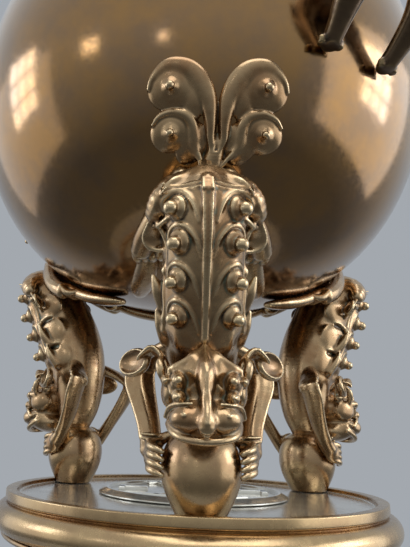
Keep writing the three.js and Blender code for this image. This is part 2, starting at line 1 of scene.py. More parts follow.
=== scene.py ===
# %% [markdown]
# # A bronze incense burner on three lion-dogs
# A round bowl stands on three lion-dogs, each head down on a ball, above a turned socle. The real
# burner is cast in pieces and brazed together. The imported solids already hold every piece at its
# real size, so this lesson makes the surfaces: turned pieces as fine lathe meshes, and the animals
# as digital clay, because a cast and chased animal has no straight edge to build from.

# %% Load the frame
import json
import math

import bpy
import numpy as np
import openvdb
from mathutils import Matrix, Vector


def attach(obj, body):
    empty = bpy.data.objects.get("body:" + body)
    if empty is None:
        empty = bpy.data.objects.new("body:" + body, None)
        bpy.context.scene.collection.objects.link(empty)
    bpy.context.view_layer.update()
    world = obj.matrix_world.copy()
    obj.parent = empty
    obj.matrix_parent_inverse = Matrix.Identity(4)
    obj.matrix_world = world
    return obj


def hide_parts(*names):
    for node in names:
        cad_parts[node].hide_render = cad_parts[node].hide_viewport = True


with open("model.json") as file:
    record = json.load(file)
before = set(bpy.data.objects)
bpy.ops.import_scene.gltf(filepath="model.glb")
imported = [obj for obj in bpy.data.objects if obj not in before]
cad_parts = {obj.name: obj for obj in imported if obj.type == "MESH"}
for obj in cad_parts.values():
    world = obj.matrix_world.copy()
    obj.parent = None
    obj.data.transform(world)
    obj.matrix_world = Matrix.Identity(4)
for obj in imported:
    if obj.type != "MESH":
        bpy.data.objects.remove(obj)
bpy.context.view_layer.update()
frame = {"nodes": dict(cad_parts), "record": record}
MM = 0.001
print("nodes in the frame:", len(frame["nodes"]))

# %% [markdown]
# ## The camera
# The photograph was taken from close by and from low down, a little turned, with the burner right of
# the lens axis. A camera is a place, three turns and a focal length, so these are the values to write
# down; the shift moves the picture's frame without bending its perspective.

# %% Camera
IMAGE = (410, 547)
SENSOR_MM = 36.0
focal_pixels = 576.94
axis_from_centre = (-64.5, -7.6)
camera_place = Vector((-12.7, -305.4, 81.6)) * MM
yaw, pitch, roll = -0.0544, 0.2701, 0.0329

ahead = Vector((math.sin(yaw) * math.cos(pitch), math.cos(yaw) * math.cos(pitch), math.sin(pitch)))
level = Vector((math.cos(yaw), -math.sin(yaw), 0))
above = level.cross(ahead)
right = level * math.cos(roll) + above * math.sin(roll)
up = above * math.cos(roll) - level * math.sin(roll)
lens = bpy.data.cameras.new("lens")
lens.sensor_width = SENSOR_MM
lens.lens = focal_pixels * SENSOR_MM / max(IMAGE)
lens.shift_x = -axis_from_centre[0] / max(IMAGE)
lens.shift_y = axis_from_centre[1] / max(IMAGE)
lens.clip_start = 0.01
camera = bpy.data.objects.new("camera", lens)
camera.matrix_world = Matrix((right, up, -ahead)).transposed().to_4x4()
camera.location = camera_place
bpy.context.scene.collection.objects.link(camera)
bpy.context.scene.camera = camera
print("camera lens in mm:", round(lens.lens, 1))

# %% [markdown]
# ## Sizes shared with the solids
# The bowl is a globe whose underside is a little flattened. Everything that lies on it is placed by
# an angle up from its lowest point and a distance to the right of the leg's middle, so the same few
# values as in the solids are enough to put scrolls, paws and screws on its skin.

# %% Sizes in millimetres
socle_height = 52.0
floor_z = 49.8
bowl_radius = 120.0
bowl_flattening = 9.5
bowl_wall = 3.2
bowl_mouth = 70.0
haunch_radius = 89.0
haunch_height = 122.0
ball_ring = 75.2
joint_gap = 0.3
tail_above_haunch = math.radians(5.5)
leg_turns = {"front": 0, "right": 120, "left": 240}


def flatten(angle):
    return bowl_flattening * max(math.cos(angle), 0) ** 4


def globe_drop(angle, proud=0.0):
    """How far below the globe's centre a point lies, in mm."""
    return (bowl_radius + proud - flatten(angle)) * math.cos(angle)


haunch_angle = math.asin(haunch_radius / bowl_radius)
bowl_z = socle_height + haunch_height + globe_drop(haunch_angle)
mouth_angle = math.pi - math.asin(bowl_mouth / bowl_radius)
mouth_z = bowl_z - globe_drop(mouth_angle)


def on_globe(angle, across, proud):
    """A point on the globe as (x, distance out, height above the socle's rim), in mm."""
    reach = (bowl_radius + proud) * math.sin(angle)
    turn = across / (bowl_radius * math.sin(angle))
    height = bowl_z - socle_height - globe_drop(angle, proud)
    return (reach * math.sin(turn), reach * math.cos(turn), height)


print("bowl centre at", round(bowl_z, 1), "mm, mouth at", round(mouth_z, 1), "mm")

# %% [markdown]
# ## One helper for nodes
# A material is a small graph. One function that adds a node, sets it up and links it keeps each
# material readable as a list of steps.

# %% Nodes and colours


def linear(code):
    """An sRGB hex colour as the linear colour that Blender's sockets take."""
    parts = [int(code[i : i + 2], 16) / 255 for i in (1, 3, 5)]
    return [p / 12.92 if p <= 0.04045 else ((p + 0.055) / 1.055) ** 2.4 for p in parts] + [1.0]


def add(tree, kind, inputs=None, **settings):
    """Adds a node, gives it its settings, and fills or links its inputs."""
    made = tree.nodes.new(kind)
    for name, value in settings.items():
        setattr(made, name, value)
    for name, value in (inputs or {}).items():
        if isinstance(value, bpy.types.NodeSocket):
            tree.links.new(value, made.inputs[name])
        else:
            made.inputs[name].default_value = value
    return made


def bare_tree(owner):
    """The node tree of a material or of the world, emptied."""
    owner.use_nodes = True
    owner.node_tree.nodes.clear()
    return owner.node_tree


# places of the two colours and of the result on a node that mixes colours
MIX_A, MIX_B, MIX_COLOUR = 6, 7, 2
print("a mid grey is", round(linear("#808080")[0], 3), "in linear colour")

# %% [markdown]
# ## Bronze
# Cast bronze is about nine parts copper to one of tin. Waxed and handled for a century it is brown,
# goes golden where hands rub it and near black, sometimes green, in the hollows. That gives the eye
# three cues: a metal's coloured reflection, a slow mottle a few centimetres wide, and colour that
# follows the relief. The relief is measured on each mesh as an attribute named hollow, which is
# positive in a groove and negative on an edge.

# %% Bronze finishes


def bronze(
    name, skin, mottle, hollow, edge, roughness, mottle_mm, grain_mm=1.1, green=0.0, bumps=0.16, wax=0.3, metal=1.0
):
    """A bronze by the colours of its skin, its mottle, its hollows and its rubbed edges."""
    material = bpy.data.materials.new(name)
    tree = bare_tree(material)
    at = add(tree, "ShaderNodeTexCoord").outputs["Object"]
    cloud = add(
        tree, "ShaderNodeTexNoise", {"Vector": at, "Scale": 1 / (mottle_mm * MM), "Detail": 6, "Roughness": 0.62}
    )
    patch = add(tree, "ShaderNodeMapRange", {"Value": cloud.outputs["Fac"], 1: 0.4, 2: 0.64})
    shape = add(tree, "ShaderNodeAttribute", attribute_name="hollow").outputs["Fac"]
    deep = add(tree, "ShaderNodeMapRange", {"Value": shape, 1: 0.08, 2: 0.75, 4: 0.95})
    rubbed = add(tree, "ShaderNodeMapRange", {"Value": shape, 1: -0.12, 2: -0.8, 4: 0.85})
    colour = linear(skin)
    for amount, shade in ((patch, mottle), (deep, hollow), (rubbed, edge)):
        sockets = {0: amount.outputs[0], MIX_A: colour, MIX_B: linear(shade)}
        colour = add(tree, "ShaderNodeMix", sockets, data_type="RGBA").outputs[MIX_COLOUR]
    grain = add(
        tree, "ShaderNodeTexNoise", {"Vector": at, "Scale": 1 / (grain_mm * MM), "Detail": 4, "Roughness": 0.7}
    )
    blotch = add(tree, "ShaderNodeTexNoise", {"Vector": at, "Scale": 1 / (3.2 * grain_mm * MM), "Detail": 3})
    cloudy = add(tree, "ShaderNodeMath", {0: blotch.outputs["Fac"], 1: deep.outputs[0]}, operation="ADD")
    gloss = add(
        tree, "ShaderNodeMapRange",
        {"Value": cloudy.outputs[0], 1: 0.3, 2: 1.3, 3: roughness - 0.05, 4: roughness + 0.26}
    )
    if green:
        spots = add(tree, "ShaderNodeTexNoise", {"Vector": at, "Scale": 1 / (7 * MM), "Detail": 5, "Roughness": 0.7})
        where = add(tree, "ShaderNodeMapRange", {"Value": spots.outputs["Fac"], 1: 0.5, 2: 0.66, 4: green})
        crust = add(tree, "ShaderNodeMath", {0: where.outputs[0], 1: deep.outputs[0]}, operation="MULTIPLY")
        sockets = {0: crust.outputs[0], MIX_A: colour, MIX_B: linear("#5f7a63")}
        colour = add(tree, "ShaderNodeMix", sockets, data_type="RGBA").outputs[MIX_COLOUR]
        metal = add(tree, "ShaderNodeMath", {0: metal, 1: crust.outputs[0]}, operation="SUBTRACT").outputs[0]
    bump = add(tree, "ShaderNodeBump", {"Height": grain.outputs["Fac"], "Strength": bumps, "Distance": 0.18 * MM})
    finish = add(tree, "ShaderNodeBsdfPrincipled", {
        "Base Color": colour, "Metallic": metal, "Roughness": gloss.outputs[0], "Normal": bump.outputs[0],
        "Coat Weight": wax, "Coat Roughness": 0.16,
    })
    add(tree, "ShaderNodeOutputMaterial", {"Surface": finish.outputs[0]})
    return material


# turned, polished and waxed: clear reflections and hardly any grain
waxed_bowl = bronze(
    "waxed_brown_bronze", "#8f6836", "#785c42", "#4a3826", "#b09164", 0.12, mottle_mm=24, grain_mm=0.7, bumps=0.05,
    wax=0.6
)
# cast and chased: light on the edges, near black and here and there green in the hollows
chased_cast = bronze(
    "chased_cast_bronze", "#a98d68", "#93714d", "#1d1610", "#dac39a", 0.25, mottle_mm=14, green=0.9, wax=0.5
)
# rubbed by hands and cloths: a little paler, and no green in the hollows
rubbed_gold = bronze("rubbed_golden_bronze", "#b3976f", "#97795a", "#2f2418", "#d0b688", 0.24, mottle_mm=20)
# worn grey and waxed, and only in part metallic, because oxide covers the rest; its grey is also
# painted paler, as painted light that makes up for the shade the bowl casts on the floor
floor_wear_and_painted_light = bronze(
    "grey_bronze_worn_and_painted_light", "#d6d4ca", "#b0aca2", "#3a362f", "#dcdacf", 0.09, mottle_mm=16, wax=0.6, metal=0.7
)
# cast and seldom rubbed: dark and duller
dark_cast = bronze("dark_cast_bronze", "#5a4838", "#64503c", "#15100b", "#94805c", 0.3, mottle_mm=12, green=0.5)
# sheet copper darkened by smoke: the dullest
smoked_copper = bronze("smoked_copper", "#8c6148", "#6e4f3c", "#3a2c22", "#b5805c", 0.38, mottle_mm=12)
finishes = {
    "bowl_bronze": waxed_bowl, "cast_bronze": chased_cast, "rubbed_bronze": rubbed_gold,
    "dark_bronze": dark_cast, "raw_copper": smoked_copper,
}
print("finishes:", ", ".join(m.name for m in finishes.values()))

# %% [markdown]
# ## From arrays to pieces
# Every piece ends as a plain mesh. One function turns points and faces into a smooth shaded mesh and
# measures its hollows: it relaxes a copy of the points towards their neighbours and sees how far
# each one moved along its own normal. A groove's point moves out, an edge's point moves in.

# %% Meshes and their hollows


def neighbour_mean(points, edges):
    """The mean of each point's neighbours."""
    count = np.bincount(edges.ravel(), minlength=len(points))[:, None]
    ends = np.concatenate([edges, edges[:, ::-1]])
    total = [np.bincount(ends[:, 0], weights=points[ends[:, 1], i], minlength=len(points)) for i in range(3)]
    return np.stack(total, 1) / np.maximum(count, 1)


# a point that moves this far while the mesh relaxes counts as a full hollow
FULL_HOLLOW_MM = 0.28


def measure_hollows(mesh, rounds):
    """Writes how deep each point lies, from -1 on an edge to 1 in a groove."""
    points = np.empty(len(mesh.vertices) * 3, np.float32)
    mesh.vertices.foreach_get("co", points)
    points = points.reshape(-1, 3).astype(float)
    edges = np.empty(len(mesh.edges) * 2, np.int32)
    mesh.edges.foreach_get("vertices", edges)
    edges = edges.reshape(-1, 2)
    normals = np.empty(len(points) * 3, np.float32)
    mesh.vertex_normals.foreach_get("vector", normals)
    relaxed = points
    for _ in range(rounds):
        relaxed = 0.5 * relaxed + 0.5 * neighbour_mean(relaxed, edges)
    moved = ((relaxed - points) * normals.reshape(-1, 3)).sum(1) / (FULL_HOLLOW_MM * MM)
    layer = mesh.attributes.new("hollow", "FLOAT", "POINT")
    layer.data.foreach_set("value", np.clip(moved, -1, 1).astype(np.float32))


def mesh_from(name, points, faces, crease_degrees=None):
    mesh = bpy.data.meshes.new(name)
    mesh.from_pydata(np.asarray(points) * MM, [], faces)
    mesh.validate()
    mesh.shade_smooth()
    if crease_degrees:
        mesh.set_sharp_from_angle(angle=math.radians(crease_degrees))
    return mesh


def place(name, mesh, finish, body, nodes, turn=0):
    """Puts a mesh in the scene, turned about the axis, riding on its body and standing for its nodes."""
    # the turn goes into a copy of the mesh, so that the piece's box is as tight as its shape
    if turn:
        mesh = mesh.copy()
        mesh.transform(Matrix.Rotation(math.radians(turn), 4, "Z"))
    piece = bpy.data.objects.new(name, mesh)
    bpy.context.scene.collection.objects.link(piece)
    if not mesh.materials:
        mesh.materials.append(finishes[finish])
    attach(piece, body)
    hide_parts(*nodes)
    return piece


# %% [markdown]
# ## Turned pieces
# The bowl, socle, balls, collar, liner, lid and finial were turned, so each is a profile spun round
# an axis. A turner never leaves a knife edge: every corner of the profile gets a small round first,
# which is what catches the light as a bright line.

# %% The lathe


def arc(centre_r, centre_z, radius, from_degrees, to_degrees, steps):
    angles = np.radians(np.linspace(from_degrees, to_degrees, steps + 1))
    return [(centre_r + radius * math.cos(a), centre_z + radius * math.sin(a)) for a in angles]


def eased(profile, radius, closed=False):
    """The profile with each corner rounded."""
    points = [Vector(p) for p in profile]
    out = []
    for i, corner in enumerate(points):
        if not closed and i in (0, len(points) - 1):
            out.append(tuple(corner))
            continue
        before, after = points[i - 1] - corner, points[(i + 1) % len(points)] - corner
        if before.length < 1e-6 or after.length < 1e-6 or before.angle(after) > math.radians(170):
            out.append(tuple(corner))
            continue
        cut = min(radius, before.length * 0.45, after.length * 0.45)
        start, end = corner + before.normalized() * cut, corner + after.normalized() * cut
        for t in (0, 0.25, 0.5, 0.75, 1):
            out.append(tuple(start * (1 - t) ** 2 + corner * 2 * t * (1 - t) + end * t * t))
    return out


def spin(profile, facets, closed=False):
    """Points and faces of a profile of (radius, height) spun round the Z axis."""
    profile = np.array(profile, float)
    angles = np.linspace(0, 2 * math.pi, facets, endpoint=False)
    points, rings = [], []
    for r, z in profile:
        if r < 1e-6:
            rings.append([len(points)] * facets)
            points.append((0, 0, z))
        else:
            rings.append(list(range(len(points), len(points) + facets)))
            points += [(r * math.cos(a), r * math.sin(a), z) for a in angles]
    pairs = list(zip(rings, rings[1:] + rings[:1])) if closed else list(zip(rings, rings[1:]))
    faces = []
    for low, high in pairs:
        for i in range(facets):
            j = (i + 1) % facets
            corners = [low[i], low[j], high[j], high[i]]
            faces.append(list(dict.fromkeys(corners)))
    return points, [f for f in faces if len(f) > 2]


def face_outward(mesh):
    """Flips the faces of a closed mesh where they point into it."""
    mesh.calc_loop_triangles()
    corners = np.array([t.vertices for t in mesh.loop_triangles])
    co = np.array([v.co for v in mesh.vertices])
    a, b, c = co[corners[:, 0]], co[corners[:, 1]], co[corners[:, 2]]
    if (a * np.cross(b, c)).sum() < 0:
        mesh.flip_normals()


def turned(name, profile, ease, closed=False, facets=192):
    """A profile with eased corners spun into a mesh."""
    points, faces = spin(eased(profile, ease, closed), facets, closed)
    mesh = mesh_from(name, points, faces, crease_degrees=38)
    face_outward(mesh)
    measure_hollows(mesh, rounds=4)
    return mesh


# %% [markdown]
# ## The bowl and the socle
# The bowl is one wall of bronze, spun here as a closed section: outside up, over the mouth, inside
# down. The socle's mouldings are a raised rim, a half-round bead, a thin fillet, a deep cove and a
# spreading foot, rubbed golden; the floor inside the rim is worn grey, and painted paler as painted
# light against the shade that the bowl casts on it.

# %% Bowl


def globe_line(proud):
    angles = np.linspace(0, mouth_angle, 97)
    return [((bowl_radius + proud) * math.sin(a), bowl_z - globe_drop(a, proud)) for a in angles]


bowl_mesh = turned("bowl_shell", globe_line(0) + globe_line(-bowl_wall)[::-1], ease=0.6, facets=256)
place("bowl_shell", bowl_mesh, "bowl_bronze", "burner", ["bowl"])

# %% Socle
rim_radius, rim_width, bead_radius, bead_z, foot_radius, neck_radius = 90.0, 5.5, 6.0, 41.0, 100.0, 72.0
floor_edge = rim_radius - rim_width
# the first two rings on the floor keep the shading of so wide a flat place flat
socle_profile = [
    (0, floor_z), (60, floor_z), (82, floor_z), (floor_edge - 1.2, floor_z), (floor_edge, floor_z + 0.5),
    (floor_edge + 0.6, socle_height - 0.2), (rim_radius, socle_height),
    (rim_radius, socle_height - 4), (rim_radius - 1.5, socle_height - 5),
    *arc(88.8, bead_z, bead_radius, 75, -75, 16),
    (88.9, 35.0), *arc(89.9, 33.9, 1.1, 60, -60, 6),
    (87, 31.8), (78.5, 29.4), (73.6, 26.4), (neck_radius - 0.4, 22), (neck_radius, 19), (75, 16),
    (79.6, 13.4), (86, 11.2),
    (94, 9), (foot_radius, 7), (foot_radius, 0.0),
    (91.0, 0.0), (67.5, 13.0), (67.5, 25.0), (82.0, 33.8), (82.0, 45.3), (0, 45.3),
]
socle_mesh = turned("socle_turning", socle_profile, ease=0.6, facets=256)
socle_mesh.materials.append(rubbed_gold)
socle_mesh.materials.append(floor_wear_and_painted_light)
# the floor's faces take the worn grey that is painted paler, as painted light against the bowl's shade
for face in socle_mesh.polygons:
    flat = (floor_z - 0.1) * MM < face.center.z < (floor_z + 0.3) * MM
    face.material_index = int(flat and face.center.xy.length < floor_edge * MM)
place("socle_turning", socle_mesh, "rubbed_bronze", "burner", ["socle"])

# %% Balls
# an egg on its flat, as (radius, height above the socle's floor)
ball_wide_z, ball_radius, ball_flat, ball_top = 16.2, 15.2, 9.4, 30.8
ball_profile = [(0, 0)]
for angle in np.radians(np.linspace(0, 90, 16)):
    swell = ball_flat + (ball_radius - ball_flat) * math.sin(angle)
    ball_profile.append((swell, ball_wide_z * angle / math.radians(90)))
for angle in np.radians(np.linspace(4, 90, 24)):
    reach = ball_radius * max(math.cos(angle), 0) ** 0.6
    ball_profile.append((reach, ball_wide_z + (ball_top - ball_wide_z) * math.sin(angle)))
ball_profile[-1] = (0, ball_top)
ball_points, ball_faces = spin(eased(ball_profile, 0.6), 72)
ball_points = [(x, y - ball_ring, z + floor_z + joint_gap) for x, y, z in ball_points]
ball_mesh = mesh_from("ball", ball_points, ball_faces)
face_outward(ball_mesh)
for leg, turn in leg_turns.items():
    place(f"{leg}_ball", ball_mesh, "rubbed_bronze", "burner", [f"{leg}_ball_foot"], turn)
print("turned pieces so far:", len(bowl_mesh.polygons) + len(socle_mesh.polygons), "faces")

# %% [markdown]
# ## Digital clay
# A modeller's wax can't be made from boxes. Here a block of clay is a grid of signed distances: below
# nought inside, above nought outside. Adding a form takes the smaller distance and rounds the
# seam, carving takes the larger. At the end OpenVDB lays a skin of quads where the distance is
# nought. Limbs, muscles, curls and grooves are then one kind of step, and they run into each other as
# wax does.

# %% A block of clay
FAR = 6.0


def smooth_line(stations, step):
    """Catmull-Rom points through the stations, about a step apart."""
    rows = np.array(stations, float)
    ends = np.vstack([2 * rows[0] - rows[1], rows, 2 * rows[-1] - rows[-2]])
    out = [rows[0]]
    for i in range(1, len(ends) - 2):
        p, q, r, s = ends[i - 1 : i + 3]
        count = max(1, round(np.linalg.norm(r[:3] - q[:3]) / step))
        for t in np.arange(1, count + 1) / count:
            out.append(
                0.5 * (2 * q + (r - p) * t + (2 * p - 5 * q + 4 * r - s) * t**2 + (3 * q - p - 3 * r + s) * t**3)
            )
    return np.array(out)


class Clay:
    def __init__(self, low, high, grain):
        self.grain = grain
        self.low = np.array(low, np.float32)
        self.size = [math.ceil((b - a) / grain) + 1 for a, b in zip(low, high)]
        self.field = np.full(self.size, FAR, np.float32)

    def part(self, low, high):
        """The slices of the grid between two corners, and the places of their points."""
        first = [min(max(math.floor((a - o) / self.grain), 0), n - 1) for a, o, n in zip(low, self.low, self.size)]
        last = [
            max(min(math.ceil((b - o) / self.grain) + 1, n), f + 1)
            for b, o, n, f in zip(high, self.low, self.size, first)
        ]
        axes = [o + self.grain * np.arange(f, e, dtype=np.float32) for o, f, e in zip(self.low, first, last)]
        cut = tuple(slice(f, e) for f, e in zip(first, last))
        return cut, np.meshgrid(*axes, indexing="ij", sparse=True)

    def merge(self, cut, distance, blend, carve=False):
        old = -self.field[cut] if carve else self.field[cut]
        nearer = np.minimum(old, distance)
        if blend > 0:
            soft = np.maximum(blend - np.abs(old - distance), 0)
            nearer = nearer - soft * soft / (4 * blend)
        self.field[cut] = -nearer if carve else nearer

    def ball(self, centre, radii, blend, carve=False, axes=None):
        """An ellipsoid; axes are the directions of its radii."""
        radii = np.broadcast_to(np.array(radii, float), 3)
        reach = radii.max() + blend + 2 * self.grain
        cut, at = self.part([c - reach for c in centre], [c + reach for c in centre])
        p = [a - c for a, c in zip(at, centre)]
        if axes is not None:
            p = [sum(axis[j] * p[j] for j in range(3)) for axis in axes]
        near = np.sqrt(sum((q / r) ** 2 for q, r in zip(p, radii)))
        slope = np.sqrt(sum((q / r**2) ** 2 for q, r in zip(p, radii))) + 1e-6
        self.merge(cut, near * (near - 1) / slope, blend, carve)

    def limb(self, stations, blend, carve=False, across=(1, 0, 0), step=None):
        """A limb along stations of x, out, height, half-width across, half-depth."""
        rows = [row if len(row) == 5 else (*row, row[3]) for row in stations]
        line = smooth_line(rows, step or max(0.6, 0.3 * max(row[3] for row in rows)))
        reach = line[:, 3:].max() + blend + 2 * self.grain
        cut, _ = self.part(line[:, :3].min(0) - reach, line[:, :3].max(0) + reach)
        whole = np.full([s.stop - s.start for s in cut], FAR, np.float32)
        for start, end in zip(line[:-1], line[1:]):
            along = end[:3] - start[:3]
            length2 = float(along @ along) + 1e-9
            near = max(start[3:].max(), end[3:].max()) + blend + 2 * self.grain
            piece, at = self.part(np.minimum(start[:3], end[:3]) - near, np.maximum(start[:3], end[:3]) + near)
            ahead = along / math.sqrt(length2)
            side = np.array(across, float)
            side = side - (side @ ahead) * ahead
            side /= np.linalg.norm(side) + 1e-9
            depth = np.cross(ahead, side)
            p = [a - c for a, c in zip(at, start[:3])]
            t = np.clip(sum(q * v for q, v in zip(p, along)) / length2, 0, 1)
            q = [a - t * v for a, v in zip(p, along)]
            wide = start[3] + t * (end[3] - start[3])
            thick = start[4] + t * (end[4] - start[4])
            parts = [(side, wide), (depth, thick), (ahead, np.minimum(wide, thick))]
            local = [(sum(v[j] * q[j] for j in range(3)), r) for v, r in parts]
            k = np.sqrt(sum((c / r) ** 2 for c, r in local))
            slope = np.sqrt(sum((c / (r * r)) ** 2 for c, r in local)) + 1e-6
            inner = tuple(slice(s.start - c.start, s.stop - c.start) for s, c in zip(piece, cut))
            whole[inner] = np.minimum(whole[inner], k * (k - 1) / slope)
        self.merge(cut, whole, blend, carve)

    def keep_off_globe(self):
        """Cuts the clay where it would pass through the bowl's skin, and leaves it sunk in by a hair."""
        sunk = 0.3
        x, out, height = self.part(self.low, self.low + self.grain * np.array(self.size))[1]
        drop = height - (bowl_z - socle_height)
        length = np.sqrt(x * x + out * out + drop * drop)
        down = np.maximum(-drop / length, 0)
        skin = bowl_radius - bowl_flattening * down**4 - sunk
        self.field = np.maximum(self.field, skin - length)

    def value(self, places):
        """Signed distance at any places, between the grid's points."""
        g = np.clip((places - self.low) / self.grain, 0, np.array(self.size) - 1.001)
        i = g.astype(int)
        f = g - i
        total = 0
        for corner in np.ndindex(2, 2, 2):
            weight = np.prod(np.where(corner, f, 1 - f), axis=-1)
            total = total + weight * self.field[tuple((i + corner).T)]
        return total

    def touch(self, start, toward, reach=70.0, miss=None):
        """The first point of the clay met on a line, or else miss, and the clay's outward direction there."""
        start, toward = np.array(start, float), np.array(toward, float)
        steps = np.arange(0, reach, 0.25)
        values = self.value(start + steps[:, None] * toward)
        hit = int(np.argmax(values < 0))
        if values[hit] >= 0 and miss is not None:
            return miss, None
        if values[hit] >= 0:
            raise ValueError(f"no clay from {start} towards {toward}")
        found = start + (steps[hit] - 0.25 * values[hit] / (values[hit] - values[hit - 1] - 1e-9)) * toward
        nudge = 0.8 * np.eye(3)
        slope = self.value(found + nudge) - self.value(found - nudge)
        return found, slope / np.linalg.norm(slope)

    def skin(self, name, where):
        """The clay's surface as a mesh; where turns clay places into millimetres in the frame."""
        band = 3 * self.grain
        grid = openvdb.FloatGrid(band)
        grid.copyFromArray(np.clip(self.field, -band, band))
        points, quads = grid.convertToQuads(isovalue=0.0)
        points = where(self.low + self.grain * points.astype(float))
        mesh = bpy.data.meshes.new(name)
        mesh.vertices.add(len(points))
        mesh.vertices.foreach_set("co", (points * MM).astype(np.float32).ravel())
        mesh.loops.add(quads.size)
        mesh.loops.foreach_set("vertex_index", quads.astype(np.int32).ravel())
        mesh.polygons.add(len(quads))
        mesh.polygons.foreach_set("loop_start", np.arange(0, quads.size, 4, dtype=np.int32))
        mesh.update(calc_edges=True)
        mesh.shade_smooth()
        face_outward(mesh)
        measure_hollows(mesh, rounds=9)
        print(name, "has", len(quads), "quads")
        return mesh


def leg_frame(points):
    """Leg places (x, out, height above the rim) in the frame, for the front leg."""
    return np.stack([points[:, 0], -points[:, 1], points[:, 2] + socle_height], 1)


def sided(stations, side):
    return [(row[0] * side, *row[1:]) for row in stations]


# %% [markdown]
# ## Curls and bosses
# The founder's favourite mark is a curl that winds up to a round knob. Here the backs and the
# handles' faces carry it, and the faces and tails of the legs have a stepped cone in its place. A
# curl is a limb laid on the surface that it sits on: its path is written once in a flat frame of its
# own, whose axes come from the surface's own direction.

# %% Curls


def local_axes(outward, sideways):
    """Axes of a surface place: sideways along it, up along it, and out of it."""
    out = np.array(outward, float)
    side = np.array(sideways, float) - (np.array(sideways, float) @ out) * out
    side /= np.linalg.norm(side)
    rise = np.cross(out, side)
    return side, rise * (1 if rise[2] > 0 else -1), out


def laid(clay, seat, axes, path):
    """A path of (sideways, up, radius) in mm, laid on the clay round a seat."""
    side, rise, out = axes
    rows = []
    for u, v, radius in path:
        flat = seat + u * side + v * rise
        spot, _ = clay.touch(flat + 9 * out, -out, 22, miss=flat - out)
        rows.append((*(spot - 0.2 * radius * out), radius))
    return rows


# a comma's path round its knob: sideways, up and the ridge's radius, as shares of the curl's size
COMMA = [
    (-1.95, -1.25, 0.06), (-1.7, -0.4, 0.16), (-1.3, 0.5, 0.24), (-0.6, 1.2, 0.28), (0.3, 1.35, 0.28),
    (1.05, 0.9, 0.22), (1.35, 0.2, 0.15), (1.3, -0.5, 0.06),
]


def curl(clay, start, toward, sideways, size, knob):
    """A comma-shaped ridge closing over a domed disc, which carries a knob."""
    seat, out = clay.touch(start, toward)
    axes = local_axes(out, sideways)
    rise = axes[1]
    path = [(u * size, v * size, r * size) for u, v, r in COMMA]
    clay.limb(laid(clay, seat, axes, path), blend=0.8, step=0.2 * size)
    clay.ball(seat, (0.96 * size, 1.1 * size, 0.55 * size), 0.5, axes=axes)
    step = seat + 0.26 * size * out - 0.1 * size * rise
    clay.ball(step, (0.74 * size, 0.78 * size, 0.45 * size), 0.12, axes=axes)
    clay.ball(step + 0.3 * size * out + out * 0.4 * knob, knob, 0.2)


# %% [markdown]
# ## The lion-dog's body
# The body hangs head down from its haunches on the bowl to its neck on the ball. It is one limb with
# a flat, wide back, a keel with a thin rail either side, a row of curls next to it, and flank plates
# that overlap like scales and end in small tufts. The hind legs fold back and lie on the bowl.

# %% Body
back_line = [
    (0, 95, 117, 9.5, 6.5), (0, 99.5, 113.5, 14, 10.5), (0, 99.5, 107, 15.6, 13.8), (0, 93, 96, 15, 17),
    (0, 87.3, 86, 15, 17.6), (0, 82.3, 77, 15.6, 17.5), (0, 77.6, 66, 14.8, 16.8), (0, 75, 53, 13.8, 14.8),
    (0, 74.8, 41, 11.8, 12.2), (0, 76.4, 32, 9, 9.2), (0, 77, 27.5, 8.4, 8.6),
]
back_curls = [(10.9, 105, 4.3, 2.7), (9.8, 93.2, 4.4, 2.7), (10.2, 80.8, 4.3, 2.5), (9.8, 68.8, 4.2, 2.5)]
flank_edge = [(102, 103), (99.5, 95), (97, 87), (94, 79.5), (91, 73), (86, 65)]
flank_plates = [
    [(96.5, 86, 1.2), (94.5, 88.6, 1.0), (90.5, 90.4, 0.7), (87, 91, 0.4)],
    [(88.5, 69.5, 1.2), (87.5, 72.4, 1.0), (84, 74.2, 0.7), (80, 74.8, 0.4)],
]
flank_swells = [(14.0, 89, 98, 6.5), (14.2, 85, 82.5, 6.5), (13.4, 79.5, 67, 6)]
tufts = [
    [(15.0, 87, 75, 3.0), (17.2, 90, 79.5, 2.6), (18.6, 91.6, 83, 1.5), (19.4, 92.2, 85, 0.7)],
    [(13.8, 80.5, 62.5, 3.0), (16.0, 84, 67.5, 2.4), (17.2, 85.6, 70.6, 1.4), (17.9, 86.2, 72.6, 0.7)],
]
haunch = [
    (7, 101, 115, 5.6, 6.6), (12.4, 104, 113.2, 6.2, 7.6), (16.4, 104.2, 110.4, 5.4, 6.6), (18.6, 102, 107.8, 4, 4.8),
]
haunch_rim = [
    (7.5, 108, 119, 0.7), (12.6, 111, 116, 1.0), (17, 110, 110.6, 1.0), (19.4, 106, 106, 0.9), (20.5, 100, 104.4, 0.8),
]
haunch_lip = [(10, 109.5, 104.4, 0.9), (14.2, 107, 102.6, 1.1), (17.4, 102, 101.8, 1.1), (19.4, 97, 103, 0.8)]
web = [(18.8, 98, 103.6, 3.4, 1.1), (20.4, 94, 100, 3.6, 1.0), (18.6, 92.5, 96.8, 3.4, 0.9)]
web_rim = [
    (22.4, 95, 103, 0.8), (23.3, 93, 99.6, 0.9), (21.4, 92.4, 96.4, 0.9), (17.8, 93.2, 94.9, 0.9),
    (14.6, 95, 94.6, 0.8),
]
# the hind foot lies along the bowl: degrees up from its lowest point, across, proud, half-width, half-depth
shank = [
    (51, 9, 4, 4, 4), (46, 14.5, 6.4, 5, 5), (42.5, 19, 7, 5, 5), (39, 22.6, 7, 4.8, 4.8), (36.2, 24.6, 6.6, 4.5, 4.5),
]
leaf = [
    (36, 23, 3.8, 3.4, 3), (31, 23, 3.4, 4.6, 3.2), (26.5, 24.5, 3.2, 5.4, 3.2), (22.5, 27, 3, 5.4, 3),
    (19.8, 29, 3, 4.2, 2.4), (18.6, 30, 3, 3, 1.8),
]

# %% Hind leg


def on_bowl(rows, side):
    """Stations by degrees up from the bowl's lowest point, across and proud."""
    return sided([(*on_globe(math.radians(a), across, proud), *radii) for a, across, proud, *radii in rows], side)


def on_flank(clay, side, out, height, lift):
    spot, normal = clay.touch((side * 33.0, out, height), (-side, 0, 0))
    return spot + normal * lift


